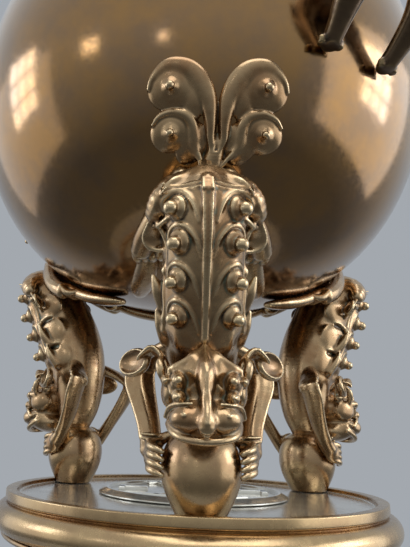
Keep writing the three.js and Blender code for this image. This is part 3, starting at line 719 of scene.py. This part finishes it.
def hind_leg(clay, side):
    clay.limb(on_bowl(leaf, side), blend=1.0)
    clay.limb(on_bowl(shank, side), blend=1.6)
    for i in range(4):
        across = 27.4 - 3.4 * i
        toe = [
            (37, across, 5.4, 1.9), (34.4, across - 0.4, 6.2, 2.0), (32.6, across - 0.8, 4.8, 1.7),
            (31.8, across - 1, 2.6, 1.2),
        ]
        clay.limb(on_bowl(toe, side), blend=0.3)
    clay.limb(sided(haunch, side), blend=2.2)
    clay.ball((side * 19.4, 100.6, 107), 3.2, 1.4)
    clay.limb(sided(web, side), blend=0.8)
    for line in (haunch_rim, haunch_lip, web_rim):
        clay.limb(sided(line, side), blend=0.7)


# %% Model the body


def lion_body():
    clay = Clay((-37, 18, 12), (37, 126, 138), 0.55)
    clay.limb(back_line, blend=0, step=1.6)
    shield = [(x, out + b - 6.5, z, 0.94 * a, 6.2) for x, out, z, a, b in back_line[2:7]]
    clay.limb(shield, blend=2.0, step=1.6)
    for side in (-1, 1):
        for x, out, z, size in flank_swells:
            clay.ball((side * x, out, z), (2.4, 1.3 * size, size), 2.5)
        hind_leg(clay, side)
    spine = [clay.touch((0, 125, z), (0, -1, 0))[0] for z in np.linspace(119, 60, 18)]
    clay.limb([(0, p[1] - 3.6, p[2], 10.0, 4.4) for p in spine], blend=5.0)
    clay.limb([(0, p[1] - 1.8, p[2], 4.2, 3.6) for p in spine], blend=4.5)
    ridge = []
    for degrees in (9, 6.5, 4):
        off, skin = (np.array(on_globe(haunch_angle + math.radians(degrees), 0, proud)) for proud in (40, 0))
        ridge.append(clay.touch(off, (skin - off) / 40, miss=skin)[0])
    ridge += [clay.touch((0, 125, p[2]), (0, -1, 0))[0] for p in spine[1:]]
    spread = 0.3 + 1.7 * np.linspace(1, 0, len(ridge)) ** 1.4
    clay.limb([(0, p[1] - 1.1, p[2], 0.7 + 0.8 * s, 1.9) for s, p in zip(spread, ridge)], blend=1.6)
    for side in (-1, 1):
        clay.limb([(side * s, p[1] + 0.5, p[2], 0.7) for s, p in zip(spread, ridge)], blend=0.4)
    for side in (-1, 1):
        for x, z, size, knob in back_curls:
            curl(clay, (side * x, 125, z), (0, -1, 0), (side, 0, 0), size, knob)
        seat, out = clay.touch((side * 10.9, 125, 105), (0, -1, 0))
        axes = local_axes(out, (side, 0, 0))
        for radius in (7.4, 9.2):
            arch = [(radius * math.sin(a), radius * math.cos(a), 0.5) for a in np.radians(np.linspace(-62, 38, 8))]
            clay.limb(laid(clay, seat, axes, arch), blend=0.7)
        edge = [(*on_flank(clay, side, out, z, 0.0), 1.0) for out, z in flank_edge]
        clay.limb(edge, blend=0.9)
        for plate in flank_plates:
            under = [(*on_flank(clay, side, out + 0.4, z - 2.2, 0.4), 0.9) for out, z, _ in plate[1:]]
            clay.limb(under, blend=2.0, carve=True)
            lip = [(*on_flank(clay, side, out, z, 0.2), r) for out, z, r in plate]
            clay.limb(lip, blend=2.0)
        for tuft in tufts:
            clay.limb(sided(tuft, side), blend=1.4)
    neck_ring = [
        (8.6 * math.sin(a), 77.5 + 8.8 * math.cos(a), 30.4, 1.1) for a in np.radians(np.linspace(-180, 180, 25))
    ]
    clay.limb(neck_ring, blend=0.8)
    clay.keep_off_globe()
    return clay.skin("lion_body", leg_frame)


# %% [markdown]
# ## The head
# The head is a casting of its own, seen face on: a broad skull, a sharp ridge from the crown down the
# nose, square eye sockets with a knob in each, cones on temples and cheeks, a wide muzzle with a
# rolled lip, and two ears like curled leaves.

# %% Head
nose_ridge = [
    (0, 94.5, 57, 0.8, 2.4), (0, 99.5, 53, 1.9, 3.4), (0, 104, 48.5, 3.1, 4.3), (0, 105.3, 45, 3.2, 4.2),
    (0, 106, 41, 2.2, 3.6), (0, 106.5, 37.5, 1.5, 3.2), (0, 108.3, 34, 2.2, 3.6), (0, 109.6, 31, 3, 3.4),
    (0, 110, 28.8, 2.4, 2.6),
]
brow = [(0.5, 98, 57.2, 0.8), (4.6, 101.6, 53.6, 0.9), (8.8, 101.6, 51, 0.9), (12.3, 99.4, 49.2, 0.8)]
forehead = [(3.5, 99.2, 51.6, 3.6, 4.6, 4), (8, 98.6, 48.8, 4.6, 4.2, 3), (3, 100.5, 47.5, 4, 4.5, 5)]
socket_side = [(12.4, 99.8, 48.8, 0.7), (12.6, 100.4, 45, 0.8), (11.8, 102, 41, 0.7)]
muzzle_edge = [(4.8, 108.4, 37.2, 0.5), (9, 106.6, 37.0, 0.6), (12.2, 102.4, 36.2, 0.8), (13.6, 99, 33, 0.8)]
lip_line = [
    (-12.8, 94, 30.6, 0.9), (-11.4, 100, 28.2, 1.2), (-8.6, 104, 26.4, 1.4), (-4.4, 106.6, 25.4, 1.4),
    (0, 107.6, 25.1, 1.4),
]
mouth_line = [
    (-13.6, 92, 36, 0.7), (-13.4, 96, 33, 0.8), (-12.2, 101.5, 29.9, 0.8), (-8.6, 106.4, 28.0, 0.8),
    (-4.4, 109.4, 27.2, 0.7), (0, 110.8, 26.9, 0.7),
]
ear_hump = [
    (12.8, 89, 48, 3.0, 1.6), (14.6, 88.5, 53, 4.0, 1.5), (18, 87, 56.9, 4.6, 1.4), (21.4, 84.5, 55.6, 4.4, 1.3),
    (23.6, 81.5, 53.0, 4.0, 1.2),
]
ear_leaf = [(15.4, 92.6, 54.4, 0.7), (16.0, 94, 51.6, 1.6), (15.5, 94.8, 48.6, 1.6), (14.8, 94.6, 45.6, 0.8)]
# the ear's cup: its centre, and the ways out of it, along it and up it
EAR_CUP = (26.2, 77.5, 53.4)
EAR_WAYS = ((0.76, 0.62, 0.18), (-0.63, 0.77, 0), (-0.14, -0.11, 0.98))
# a cone's root and its three rings: how far back, width as a share of its size, depth, blend
CONE_RINGS = ((4.5, 1.0, 4.2, 1.4), (1.6, 1.0, 1.7, 0.15), (0.8, 0.72, 1.5, 0.1), (0.2, 0.42, 1.3, 0.1))

# %% Ears and cones


def whole_line(half):
    """A line given for one side, with its mirror image on the other."""
    return half + [(-x, *rest) for x, *rest in half[-2::-1]]


def ear(clay, side):
    mirror = np.array([side, 1, 1])
    ways = [np.array(way) * mirror for way in EAR_WAYS]
    cup = np.array(EAR_CUP) * mirror
    clay.limb(sided(ear_hump, side), blend=1.0, across=(side * 0.1, 0.95, 0.2), step=0.9)
    under = [(x - side * 0.4, out, z - 2.6, 0.8 * a, 1.4) for x, out, z, a, b in sided(ear_hump, side)[1:4]]
    clay.limb(under, blend=0.6, carve=True, across=(side * 0.1, 0.95, 0.2), step=0.9)
    clay.ball(cup, (3.2, 9.4, 5.8), 1.0, axes=ways)
    clay.ball(cup + 2.8 * ways[0], (3.9, 8.4, 4.9), 0.3, carve=True, axes=ways)
    clay.limb(sided(ear_leaf, side), blend=0.5)


def boss(clay, side, x, out, z, size):
    """A cone of three rings that stands towards the front, on a root of its own."""
    for back, wide, deep, blend in CONE_RINGS:
        clay.ball((side * x, out - back, z), (wide * size, deep, wide * size), blend)


# %% Model the head


def lion_head():
    clay = Clay((-37, 64, 18), (37, 118, 64), 0.42)
    clay.ball((0, 92, 43), (14, 12, 9.5), 0)
    clay.ball((0, 97, 32.5), (13.6, 10.5, 7.0), 3.0)
    clay.ball((0, 93, 30), (12, 11, 6), 2.0)
    for side in (-1, 1):
        for x, out, z, *radii in forehead:
            clay.ball((side * x, out, z), radii, 2.5)
        clay.ball((side * 12.6, 93, 41.6), (2.8, 7, 5.5), 2.0)
        clay.ball((side * 5.4, 104, 32.4), (6.6, 5.4, 4.8), 3.0)
        clay.ball((side * 8.2, 106.5, 44.8), (4.6, 4.2, 4.5), 0.7, carve=True)
        clay.ball((side * 9.4, 101.6, 44.6), (3.1, 3.6, 4.0), 0.5)
        clay.limb(sided(brow, side), blend=1.6)
        clay.limb(sided(socket_side, side), blend=0.8)
    clay.limb(nose_ridge[:6], blend=1.4)
    clay.limb(nose_ridge[5:], blend=3.0)
    clay.limb([(0, out + 0.92 * b, z, 0.5) for _, out, z, a, b in nose_ridge[:-1]], blend=1.2)
    for side in (-1, 1):
        clay.limb(sided(muzzle_edge, side), blend=1.0)
    clay.limb(whole_line(mouth_line), blend=0.8, carve=True)
    clay.limb(whole_line(lip_line), blend=1.0)
    for side in (-1, 1):
        ear(clay, side)
        clay.ball((side * 9.3, 104.6, 45.0), (2.3, 1.2, 2.3), 0.25)
        clay.ball((side * 9.3, 105.3, 45.0), 1.6, 0.1)
        boss(clay, side, 9.2, 106.8, 39.4, 2.3)
        boss(clay, side, 13.4, 102, 45.2, 1.8)
        boss(clay, side, 7.3, 108.6, 33.4, 2.3)
    return clay.skin("lion_head", leg_frame)


# %% [markdown]
# ## The forelegs
# Each foreleg is a thin, edged casting that runs from the shoulder out past the ear and down to a paw
# that grips the side of the ball: four toes in front and a thumb behind.

# %% Foreleg
foreleg_line = [
    (11, 70, 62, 3.8, 3.2), (15.5, 65, 60, 4.2, 2.8), (20.5, 60, 57, 5.4, 2.4), (24.6, 56, 52.6, 6.3, 2.2),
    (24.6, 58, 46.5, 6.3, 2.3),
    (22.6, 61.5, 39, 5.4, 2.5), (20.4, 66, 31, 4.6, 2.7), (19.4, 69.5, 25.5, 4.3, 3), (18.9, 73, 21, 4.4, 3.4),
]
thumb = [(17.5, 72, 22.6, 2.2), (13.6, 72.6, 25.6, 2.0), (11.2, 73.4, 26.6, 1.7)]


def foreleg(side):
    left, right = (2, 36) if side > 0 else (-36, -2)
    clay = Clay((left, 47, 6), (right, 92, 72), 0.45)
    clay.limb(sided(foreleg_line, side), blend=0)
    strip = [(x + 0.9 * a, out + 0.6, z, 0.7) for x, out, z, a, b in foreleg_line[3:8]]
    clay.limb(sided(strip, side), blend=0.9)
    shinbone = [(x - 0.1 * a, out + 0.6 * b, z, 1.0) for x, out, z, a, b in foreleg_line[3:8]]
    clay.limb(sided(shinbone, side), blend=2.4)
    for z, out in ((26.4, 72.6), (24.8, 74.0)):
        cuff = [(15.2, out + 0.4, z + 0.3, 0.5), (18.6, out + 1.4, z, 0.6), (22.8, out - 0.4, z + 0.3, 0.5)]
        clay.limb(sided(cuff, side), blend=0.5)
    clay.ball((side * 18.9, 75.6, 19), (2.8, 4.4, 5.2), 1.4)
    for z in (22.2, 19.4, 16.6, 14.0):
        finger = [
            (19.6, 75.5, z + 1.2, 1.4), (19.2, 79.6, z + 0.4, 1.5), (17.0, 82.6, z - 0.5, 1.4),
            (14.6, 83.8, z - 1.4, 1.0),
        ]
        clay.limb(sided(finger, side), blend=0.35)
    clay.limb(sided(thumb, side), blend=0.7)
    clay.ball((0, ball_ring, floor_z + joint_gap + ball_wide_z - socle_height), (15.5, 15.5, 16), 0, carve=True)
    return clay.skin("foreleg_right" if side > 0 else "foreleg_left", leg_frame)


# %% [markdown]
# ## The tail
# The tail fans into four scrolls that lie flat on the bowl. It is easiest to model flat and then bend
# over the globe: the clay's axes are right, up and off the surface, and the bend happens to the
# finished points. Each scroll winds in round a stepped cone, and the tail leans a little to the right.

# %% Tail
TAIL_SHIFT, TAIL_ROOT, TAIL_BEND = 4.2, -12.0, 22.0
large_scroll = [
    (0.9, 3.3, 1.3), (2.5, 10, 2.1), (2.7, 16.1, 2.5), (3.8, 24.1, 3.5), (6.7, 30.4, 4.2), (10, 34.5, 4.0),
    (14, 36.8, 3.6),
    (18.9, 37.4, 3.0), (22.6, 35.4, 2.3), (25.4, 32.4, 1.4), (26.6, 29.0, 0.7),
]
small_scroll = [
    (5.7, 2.4, 1.6), (8.4, 6.7, 2.4), (9, 10.8, 2.6), (9.8, 15.3, 2.4), (12.4, 18.6, 2.2),
    (17.6, 19.9, 1.7), (22.2, 18.6, 1.3),
    (24.8, 15.6, 0.7),
]
# each scroll is a stepped cone: its middle, then radius and height of each step, then its knob
cones = [
    ((18.0, 29.4), ((9.4, 3.2), (5.6, 4.0), (4.4, 4.7), (3.3, 5.3)), (1.7, 5.3)),
    ((17.8, 12.4), ((8.3, 3.0), (5.2, 3.8), (4.0, 4.4), (2.9, 4.9)), (1.5, 4.8)),
]
stem = [
    (0, -16, 6.6, 2.4), (0, -11, 4.8, 2.6), (0, -6, 2.8, 3.2), (0, -1, 1.0, 4.2), (0, 5, 0.4, 3.4), (0, 10, -0.4, 1.8),
]
stem_edge = [(1.6, -16, 6.4, 0.7), (1.9, -10, 4.8, 0.8), (2.8, -4, 4.0, 0.9), (4.6, 1, 3.2, 0.9), (6.4, 4, 2.6, 0.8)]


def on_the_bowl(points):
    """Bends flat tail places (right, up, off) over the globe; the tail swings to the right on its way up."""
    angle = haunch_angle + tail_above_haunch + points[:, 1] / bowl_radius
    swing = np.clip((points[:, 1] - TAIL_ROOT) / TAIL_BEND, 0, 1)
    across = points[:, 0] + TAIL_SHIFT * swing * swing * (3 - 2 * swing)
    proud = points[:, 2]
    reach = (bowl_radius + proud) * np.sin(angle)
    turn = across / (bowl_radius * np.sin(angle))
    drop = (bowl_radius + proud - bowl_flattening * np.maximum(np.cos(angle), 0) ** 4) * np.cos(angle)
    return np.stack([reach * np.sin(turn), -reach * np.cos(turn), bowl_z - drop], 1)


def scroll(clay, path, side):
    """A half-round band that climbs a little as it winds in."""
    climb = np.linspace(0.2, 1.2, len(path))
    thick = np.linspace(3.2, 1.4, len(path))
    rows = [(x, rise, off, deep, wide) for (x, rise, wide), off, deep in zip(path, climb, thick)]
    clay.limb(sided(rows, side), blend=0.8, across=(0, 0, 1), step=0.8)


def tail():
    clay = Clay((-31, -17, -1.2), (31, 44, 10), 0.4)
    clay.limb(stem, blend=0)
    for side in (-1, 1):
        for (x, rise), steps, (knob_size, knob_height) in cones:
            for radius, tall in steps:
                clay.ball((side * x, rise, 0), (radius, radius, tall), 0.15)
            clay.ball((side * x, rise, knob_height), knob_size, 0.15)
        for x, rise, wide, long in ((9.6, 25, 5, 9), (9.5, 8, 6.5, 9)):
            clay.ball((side * x, rise, 0), (wide, long, 2.4), 0.8)
        scroll(clay, small_scroll, side)
        scroll(clay, large_scroll, side)
        clay.limb(sided(stem_edge, side), blend=0.6)
        # cut in both rounds: the second also clears the other side's band, and deepens the groove a little
        clay.limb([(0, 6, 3.6, 0.7), (0, 20, 3.6, 0.7), (0, 33, 3.4, 0.6)], blend=0.5, carve=True)
    clay.field[:, :, : round(0.9 / clay.grain)] = FAR
    return clay.skin("tail", on_the_bowl)


# %% Cast the three legs
leg_meshes = {
    "torso": lion_body(), "head": lion_head(), "foreleg_right": foreleg(1), "foreleg_left": foreleg(-1),
    "tail": tail(),
}
for leg, turn in leg_turns.items():
    for piece, mesh in leg_meshes.items():
        place(f"{leg}_{piece}_casting", mesh, "cast_bronze", "burner", [f"{leg}_{piece}"], turn)

# %% [markdown]
# ## The handles
# Two more lion-dogs climb the bowl as handles. They stand on their hind paws low on the globe, arch
# clear of it for the fingers, and hold on with their forepaws near the shoulder.

# %% Handles
handle_turns = {"handle_right": 30, "handle_left": 210}


def climbing(rows, side=1):
    """Stations by degrees above the globe's middle, across and proud."""
    return on_bowl([(90 + latitude, *rest) for latitude, *rest in rows], side)


def handle():
    clay = Clay((-30, 96, 172), (30, 176, 292), 0.6)
    body = [
        (0, 0, 27, 9.5, 9), (4, 0, 31, 11, 10), (10, 0, 34, 11, 9.5), (17, 0, 34, 9, 8.5), (24, 0, 31, 11, 9.5),
        (31, 0, 29, 10, 9), (36, 0, 31, 8, 8),
    ]
    hind = [
        (4, 6, 27, 8, 8), (0, 12.5, 25, 8.5, 7), (-5, 15, 18, 6.6, 5), (-10, 15, 9, 4.4, 3.8),
        (-13, 14.5, 4, 3.8, 3.4),
    ]
    fore = [(27, 7, 26, 7, 7), (23, 14, 20, 5.6, 5.4), (28, 15.4, 11, 4.2, 4), (32.5, 14.5, 3.6, 4.6, 3.4)]
    shin = [(1, 21, 24, 0.9), (-4, 21, 19, 0.9), (-9, 18.6, 10, 0.8)]
    curled_tail = [(-1, 0, 32, 5, 5), (-5, 0, 40, 4.4, 4.4), (-3, 0, 46, 3.8, 3.8), (1, 0, 46, 3.2, 3.2)]
    clay.limb(climbing(body), blend=0)
    for side in (-1, 1):
        for leg in (hind, fore):
            clay.limb(climbing(leg, side), blend=1.5)
        for latitude, lift in ((-13.6, -1), (32.8, 1)):
            for i in range(4):
                across = 11.0 + 2.6 * i
                toe = [
                    (latitude - 1.0 * lift, across, 5.0, 1.6), (latitude + 1.2 * lift, across, 4.2, 1.5),
                    (latitude + 2.8 * lift, across, 2.0, 1.1),
                ]
                clay.limb(climbing(toe, side), blend=0.4)
        clay.limb(climbing(shin, side), blend=1.0)
    clay.limb(climbing(curled_tail), blend=1.0)
    spine = []
    for latitude in np.linspace(3, 30, 9):
        start = np.array(on_globe(math.radians(90 + latitude), 0, 52))
        toward = np.array(on_globe(math.radians(90 + latitude), 0, 20)) - start
        spot, out = clay.touch(start, toward / np.linalg.norm(toward))
        spine.append((*(spot + out * 0.8), 1.1))
    clay.limb(spine, blend=1.4)
    for side in (-1, 1):
        for latitude in (8, 15.5, 23):
            start = np.array(on_globe(math.radians(90 + latitude), side * 7, 54))
            toward = np.array(on_globe(math.radians(90 + latitude), side * 6, 20)) - start
            curl(clay, start, toward / np.linalg.norm(toward), (side, 0, 0), 3.4, 2.0)
    face = np.array(on_globe(math.radians(129), 0, 35))
    # places on the head are counted from the middle of the face
    over_eye = ((3, 9.5, 5.5, 1.3), (7, 7.5, 6.5, 1.4), (10, 3, 5, 1.1))
    down_nose = ((4, 11, 1.4, 1.6), (9.5, 6, 2.2, 2.2), (10.5, 0, 2.0, 2.4), (14, -4.5, 2.8, 2.6))
    along_lip = ((-8, 9, 1.6), (-4, 13.5, 0.3), (0, 15, 0), (4, 13.5, 0.3), (8, 9, 1.6))
    head = [((0, 0, 0), (11, 10.5, 10)), ((0, 9, -5), (9, 6, 6)), ((0, -3, -6), (8.5, 7, 7))]
    for shift, radii in head:
        clay.ball(face + np.array(shift), radii, 2.5)
    for side in (-1, 1):
        clay.ball(face + (side * 4.6, 11, -6), (3.6, 3, 3.4), 1.0)
        clay.limb([(*(face + (side * x, out, z)), r) for x, out, z, r in over_eye], blend=1.0)
        pointed_ear = [
            (side * 8, face[1] - 2, face[2] + 3, 3.6, 1.6), (side * 14, face[1] - 1, face[2] + 7.5, 4.2, 1.2),
            (side * 19, face[1] - 1, face[2] + 5, 3.8, 1.0), (side * 22, face[1] - 2, face[2] + 6.5, 2.0, 0.8),
        ]
        clay.limb(pointed_ear, blend=1.0, across=(0, 0.5, 0.8))
        curl(clay, face + (side * 5.6, 26, 2.2), (0, -1, 0), (side, 0, 0), 2.2, 1.7)
        curl(clay, face + (side * 5.4, 26, -5.5), (0, -1, 0), (side, 0, 0), 1.9, 1.5)
    clay.limb([(*(face + (0, out, z)), w, d) for out, z, w, d in down_nose], blend=1.2)
    clay.limb([(face[0] + x, face[1] + out, face[2] - 10.2 + lift, 1.3) for x, out, lift in along_lip], blend=0.8)
    clay.keep_off_globe()
    return clay.skin("climbing_lion", leg_frame)


handle_mesh = handle()
for node, turn in handle_turns.items():
    place(f"{node}_casting", handle_mesh, "dark_bronze", "burner", [node], turn)

# %% [markdown]
# ## Mouth, liner and lid
# The collar closes the bowl's mouth and holds a sheet copper pan for the ash. The lid drops over the
# collar; smoke leaves through ten round holes, and a turned bud is its knob.

# %% Collar and ash liner
collar_bore, collar_outside, spigot_outside = 63.9, 75.0, 67.1
collar_base, collar_top = mouth_z + joint_gap, mouth_z + 12.0
liner_seat, liner_flange, liner_wall, liner_depth = 8.0, 3.0, 1.2, 52.0
collar_profile = [
    (collar_bore, mouth_z - 6), (spigot_outside, mouth_z - 6), (spigot_outside, collar_base),
    (bowl_mouth, collar_base),
    (bowl_mouth - 0.4, collar_base + 1.4), (bowl_mouth - 1, collar_base + 4), (bowl_mouth + 1.4, collar_base + 6),
    (collar_outside - 1.2, collar_top - 4.6), *arc(collar_outside - 1.6, collar_top - 2, 1.6, -60, 90, 8),
    (collar_bore + liner_flange, collar_top), (collar_bore + liner_flange, collar_top - liner_seat),
    (collar_bore, collar_top - liner_seat),
]
place(
    "collar_turning", turned("collar_turning", collar_profile, 0.4, closed=True), "rubbed_bronze", "burner",
    ["mouth_collar"]
)

liner_top = collar_top - liner_seat + joint_gap + liner_wall
liner_side, liner_floor = collar_bore - 1.0, liner_top - liner_depth
liner_profile = [
    (0, liner_floor), (liner_side - 13, liner_floor), *arc(liner_side - 13, liner_floor + 13, 13, -85, 0, 10),
    (liner_side, liner_top - liner_wall), (collar_bore + liner_flange - 1, liner_top - liner_wall),
    (collar_bore + liner_flange - 1, liner_top), (liner_side - liner_wall, liner_top),
    *arc(liner_side - 13, liner_floor + 13, 13 - liner_wall, 0, -85, 10), (liner_side - 13, liner_floor + liner_wall),
    (0, liner_floor + liner_wall),
]
place("liner_pan", turned("liner_pan", liner_profile, 0.3), "raw_copper", "ash_liner", ["ash_liner"])
print("collar's top at", round(collar_top, 1), "mm, liner's floor at", round(liner_floor, 1), "mm")

# %% Lid
lid_base, lid_rise, lid_wall, dome_radius = collar_top + joint_gap, 40.0, 3.0, 74.0
lid_top = lid_base + lid_rise


def dome(radius, rise):
    angles = np.linspace(0, math.pi / 2, 25)
    return [(radius * math.cos(a), lid_base + rise * math.sin(a)) for a in angles]


lid_profile = [
    (0, lid_top - lid_wall), *dome(dome_radius - lid_wall, lid_rise - lid_wall)[::-1][1:],
    (76.0, lid_base), (76.0, lid_base - 3.5), (79.0, lid_base - 3.5), (79.0, lid_base + 1.6), (75.4, lid_base + 4.2),
    *dome(dome_radius, lid_rise)[3:],
]
lid_mesh = turned("lid_dome", lid_profile, 0.5, facets=160)
lid = place("lid_dome", lid_mesh, "bowl_bronze", "lid", ["lid"])
vents, vent_degrees, vent_radius = 10, 34, 4.2
tilt = math.radians(vent_degrees)
for i in range(vents):
    spot = Matrix.Rotation(math.radians(360 / vents * i - 90), 4, "Z") @ Matrix.Translation(
        Vector((dome_radius * math.cos(tilt) - 1.5, 0, lid_base + lid_rise * math.sin(tilt))) * MM)
    bpy.ops.mesh.primitive_cylinder_add(vertices=40, radius=vent_radius * MM, depth=20 * MM)
    punch = bpy.context.object
    punch.matrix_world = spot @ Matrix.Rotation(math.radians(90 - vent_degrees), 4, "Y")
    bore = lid.modifiers.new("vent", "BOOLEAN")
    bore.object = punch
    bore.operation = "DIFFERENCE"
    bpy.context.view_layer.objects.active = lid
    bpy.ops.object.modifier_apply(modifier="vent")
    bpy.data.objects.remove(punch)
print("lid's dome has", vents, "vents")

# %% Finial
finial_base, finial_radius, finial_height = lid_top + joint_gap, 13.0, 52.0
bud_z = finial_base + finial_height - 17
finial_profile = [
    (0, lid_top - 10.5), (4, lid_top - 10.5), (4, finial_base), (13, finial_base), (13, finial_base + 3),
    (9.2, finial_base + 5.6),
    *arc(13.6, finial_base + 13, 8, 225, 165, 8), (6.4, finial_base + 15.4),
    *arc(6.6, finial_base + 16.8, 1.9, -80, 80, 8),
    (5.9, finial_base + 19), *arc(0, bud_z, finial_radius, -62, 50, 16),
    (5.4, finial_base + finial_height - 5.2), (2.6, finial_base + finial_height - 2),
    (0, finial_base + finial_height),
]
place(
    "finial_turning", turned("finial_turning", finial_profile, 0.5, facets=96), "rubbed_bronze", "lid", ["lid_finial"]
)
print("finial ends at", round(finial_base + finial_height, 1), "mm")

# %% [markdown]
# ## The medallion
# A relief disc lies on the socle's floor under the bowl: a raised ring round a fret of plain keys, cast
# in low relief with soft corners, and worn to the same grey as the floor, with the same painted light
# against the bowl's shade.

# %% Medallion
medallion_radius, relief, medallion_base = 46.0, 1.4, floor_z + joint_gap
medallion_top = medallion_base + 1.2
bar_width = 3.2
disc = [
    (0, medallion_base), (medallion_radius, medallion_base), (medallion_radius, medallion_top - 0.6),
    (medallion_radius - 3.4, medallion_top + relief), (medallion_radius - 4.6, medallion_top + relief),
    (medallion_radius - 5.2, medallion_top), (medallion_radius - 7, medallion_top), (0, medallion_top),
]
disc_points, disc_faces = spin(eased(disc, 0.35), 160)


def bar(length, width, x, y, turn):
    """A low bar with sloping sides, as points and faces."""
    spin_by = math.radians(turn)
    rows = [(length, width, medallion_top - 0.4), (length, width, medallion_top + 0.5 * relief),
            (length - 0.7, width - 0.7, medallion_top + relief)]
    points = []
    for long, wide, z in rows:
        for u, v in ((-1, -1), (1, -1), (1, 1), (-1, 1)):
            px, py = x + u * long / 2, y + v * wide / 2
            points.append(
                (px * math.cos(spin_by) - py * math.sin(spin_by), px * math.sin(spin_by) + py * math.cos(spin_by), z)
            )
    faces = [[3, 2, 1, 0], [8, 9, 10, 11]]
    for base in (0, 4):
        faces += [[base + i, base + (i + 1) % 4, base + 4 + (i + 1) % 4, base + 4 + i] for i in range(4)]
    return points, faces


points, faces = list(disc_points), list(disc_faces)
bars = [bar(26, bar_width, 0, y, turn) for turn in (0, 90) for y in (5, -5)]
for i in range(6):
    bars += [bar(14, bar_width, 29, 0, 60 * i), bar(bar_width, 13, 34.5, 0, 60 * i)]
for bar_points, bar_faces in bars:
    faces += [[v + len(points) for v in face] for face in bar_faces]
    points += bar_points
medallion_mesh = mesh_from("medallion_relief", points, faces, 30)
measure_hollows(medallion_mesh, rounds=3)
# the medallion takes the floor's grey, painted paler as painted light against the bowl's shade
medallion_mesh.materials.append(floor_wear_and_painted_light)
place("medallion_relief", medallion_mesh, "dark_bronze", "burner", ["socle_medallion"])
print("the fret has", len(bars), "bars")

# %% [markdown]
# ## Screws, studs and nuts
# The fastenings stay as they were packed. They only need their finish, which is darker bronze or
# smoked copper, because no hand ever rubs them.

# %% Finish what stays
kept = 0
for row in frame["record"]["subparts"]:
    node = frame["nodes"][row["node"]]
    node.data.materials.clear()
    node.data.materials.append(finishes[row["material_slot"]])
    kept += not node.hide_render
print("solids that stay visible:", kept)

# %% [markdown]
# ## Studio light
# Polished metal shows the room more than itself. The photograph's bowl mirrors a tall paned window
# on either side and two small ones in front, in a grey room. Soft panels stand where those reflections
# come from, and a grey surround fills the rest. To the camera it is one flat grey. Reflections see it
# darker below than above, except behind the burner, where they see the same flat grey. The burner
# stands on a small round stand of that grey.

# %% Floor and surround
STUDIO_GREY = "#a3a8ae"
stand_points, stand_faces = spin([(0, 0), (138, 0), (140, -2), (140, -60), (0, -60)], 128)
floor_mesh = mesh_from("floor", stand_points, stand_faces, 30)
face_outward(floor_mesh)
floor = bpy.data.objects.new("floor", floor_mesh)
bpy.context.scene.collection.objects.link(floor)
paper = bpy.data.materials.new("pale_paper")
tree = bare_tree(paper)
sheet = add(tree, "ShaderNodeBsdfPrincipled", {"Base Color": linear(STUDIO_GREY), "Roughness": 0.8})
add(tree, "ShaderNodeOutputMaterial", {"Surface": sheet.outputs[0]})
floor_mesh.materials.append(paper)

world = bpy.data.worlds.new("studio")
bpy.context.scene.world = world
tree = bare_tree(world)
rays = add(tree, "ShaderNodeLightPath")
behind = add(tree, "ShaderNodeBackground", {"Color": linear(STUDIO_GREY), "Strength": 1.0})
look = add(tree, "ShaderNodeTexCoord")
way = add(tree, "ShaderNodeSeparateXYZ", {"Vector": look.outputs["Generated"]})
rise = add(tree, "ShaderNodeMapRange", {"Value": way.outputs["Z"], 1: -0.5, 2: 0.35, 3: 0.26, 4: 1.2})
room = add(tree, "ShaderNodeBackground", {"Color": linear("#c4c8cb"), "Strength": rise.outputs[0]})
far = add(tree, "ShaderNodeMapRange", {"Value": way.outputs["Y"], 1: 0.55, 2: 0.8})
seen = add(tree, "ShaderNodeMath", {0: rays.outputs["Is Camera Ray"], 1: far.outputs[0]}, operation="MAXIMUM")
either = add(tree, "ShaderNodeMixShader", {0: seen.outputs[0], 1: room.outputs[0], 2: behind.outputs[0]})
add(tree, "ShaderNodeOutputWorld", {"Surface": either.outputs[0]})

# %% Lamps
# the point that the lamps face, in the lower half of the bowl
LAMP_AIM = Vector((0, 0, 0.22))
# a window of three by three panes on either side: azimuth, step up, pane's height, level
WINDOWS = {"left": (-96, 7.5, 0.16, 4.5), "right": (78, 7, 0.15, 5.5)}


def panel(name, azimuth, elevation, distance, width, height, level, colour="#ffffff"):
    """A rectangular lamp seen from the burner at an azimuth (0 is the camera's side) and elevation."""
    az, el = math.radians(azimuth), math.radians(elevation)
    way = Vector((math.sin(az) * math.cos(el), -math.cos(az) * math.cos(el), math.sin(el)))
    lamp = bpy.data.lights.new(name, "AREA")
    lamp.shape = "RECTANGLE"
    lamp.size, lamp.size_y = width, height
    lamp.energy = level * math.pi * width * height
    lamp.color = linear(colour)[:3]
    holder = bpy.data.objects.new(name, lamp)
    holder.location = LAMP_AIM + way * distance
    holder.rotation_euler = (-way).to_track_quat("-Z", "Y").to_euler()
    bpy.context.scene.collection.objects.link(holder)


for row in range(3):
    for column in range(3):
        for side, (azimuth, step, tall, strength) in WINDOWS.items():
            name, turn, lift = f"{side}_pane_{row}_{column}", azimuth + 6.5 * column, 6 + step * row
            panel(name, turn, lift, 1.5, 0.14, tall, strength, colour="#eef4ff")
panel("front_window", -49, 14, 1.8, 0.24, 0.18, 3.5)
panel("far_window", -16, 11, 2.4, 0.18, 0.18, 3)
panel("left_wall", -98, 2, 2.2, 2.2, 1.6, 0.6)
panel("right_wall", 84, 6, 2.2, 2.4, 1.8, 1.2)
panel("ceiling", 20, 68, 1.6, 1.6, 1.6, 2.4)

# %% [markdown]
# ## Finish
# The view transform stays Standard, so that a colour shows as it is written.

# %% Keep colours as written
bpy.context.scene.view_settings.view_transform = "Standard"
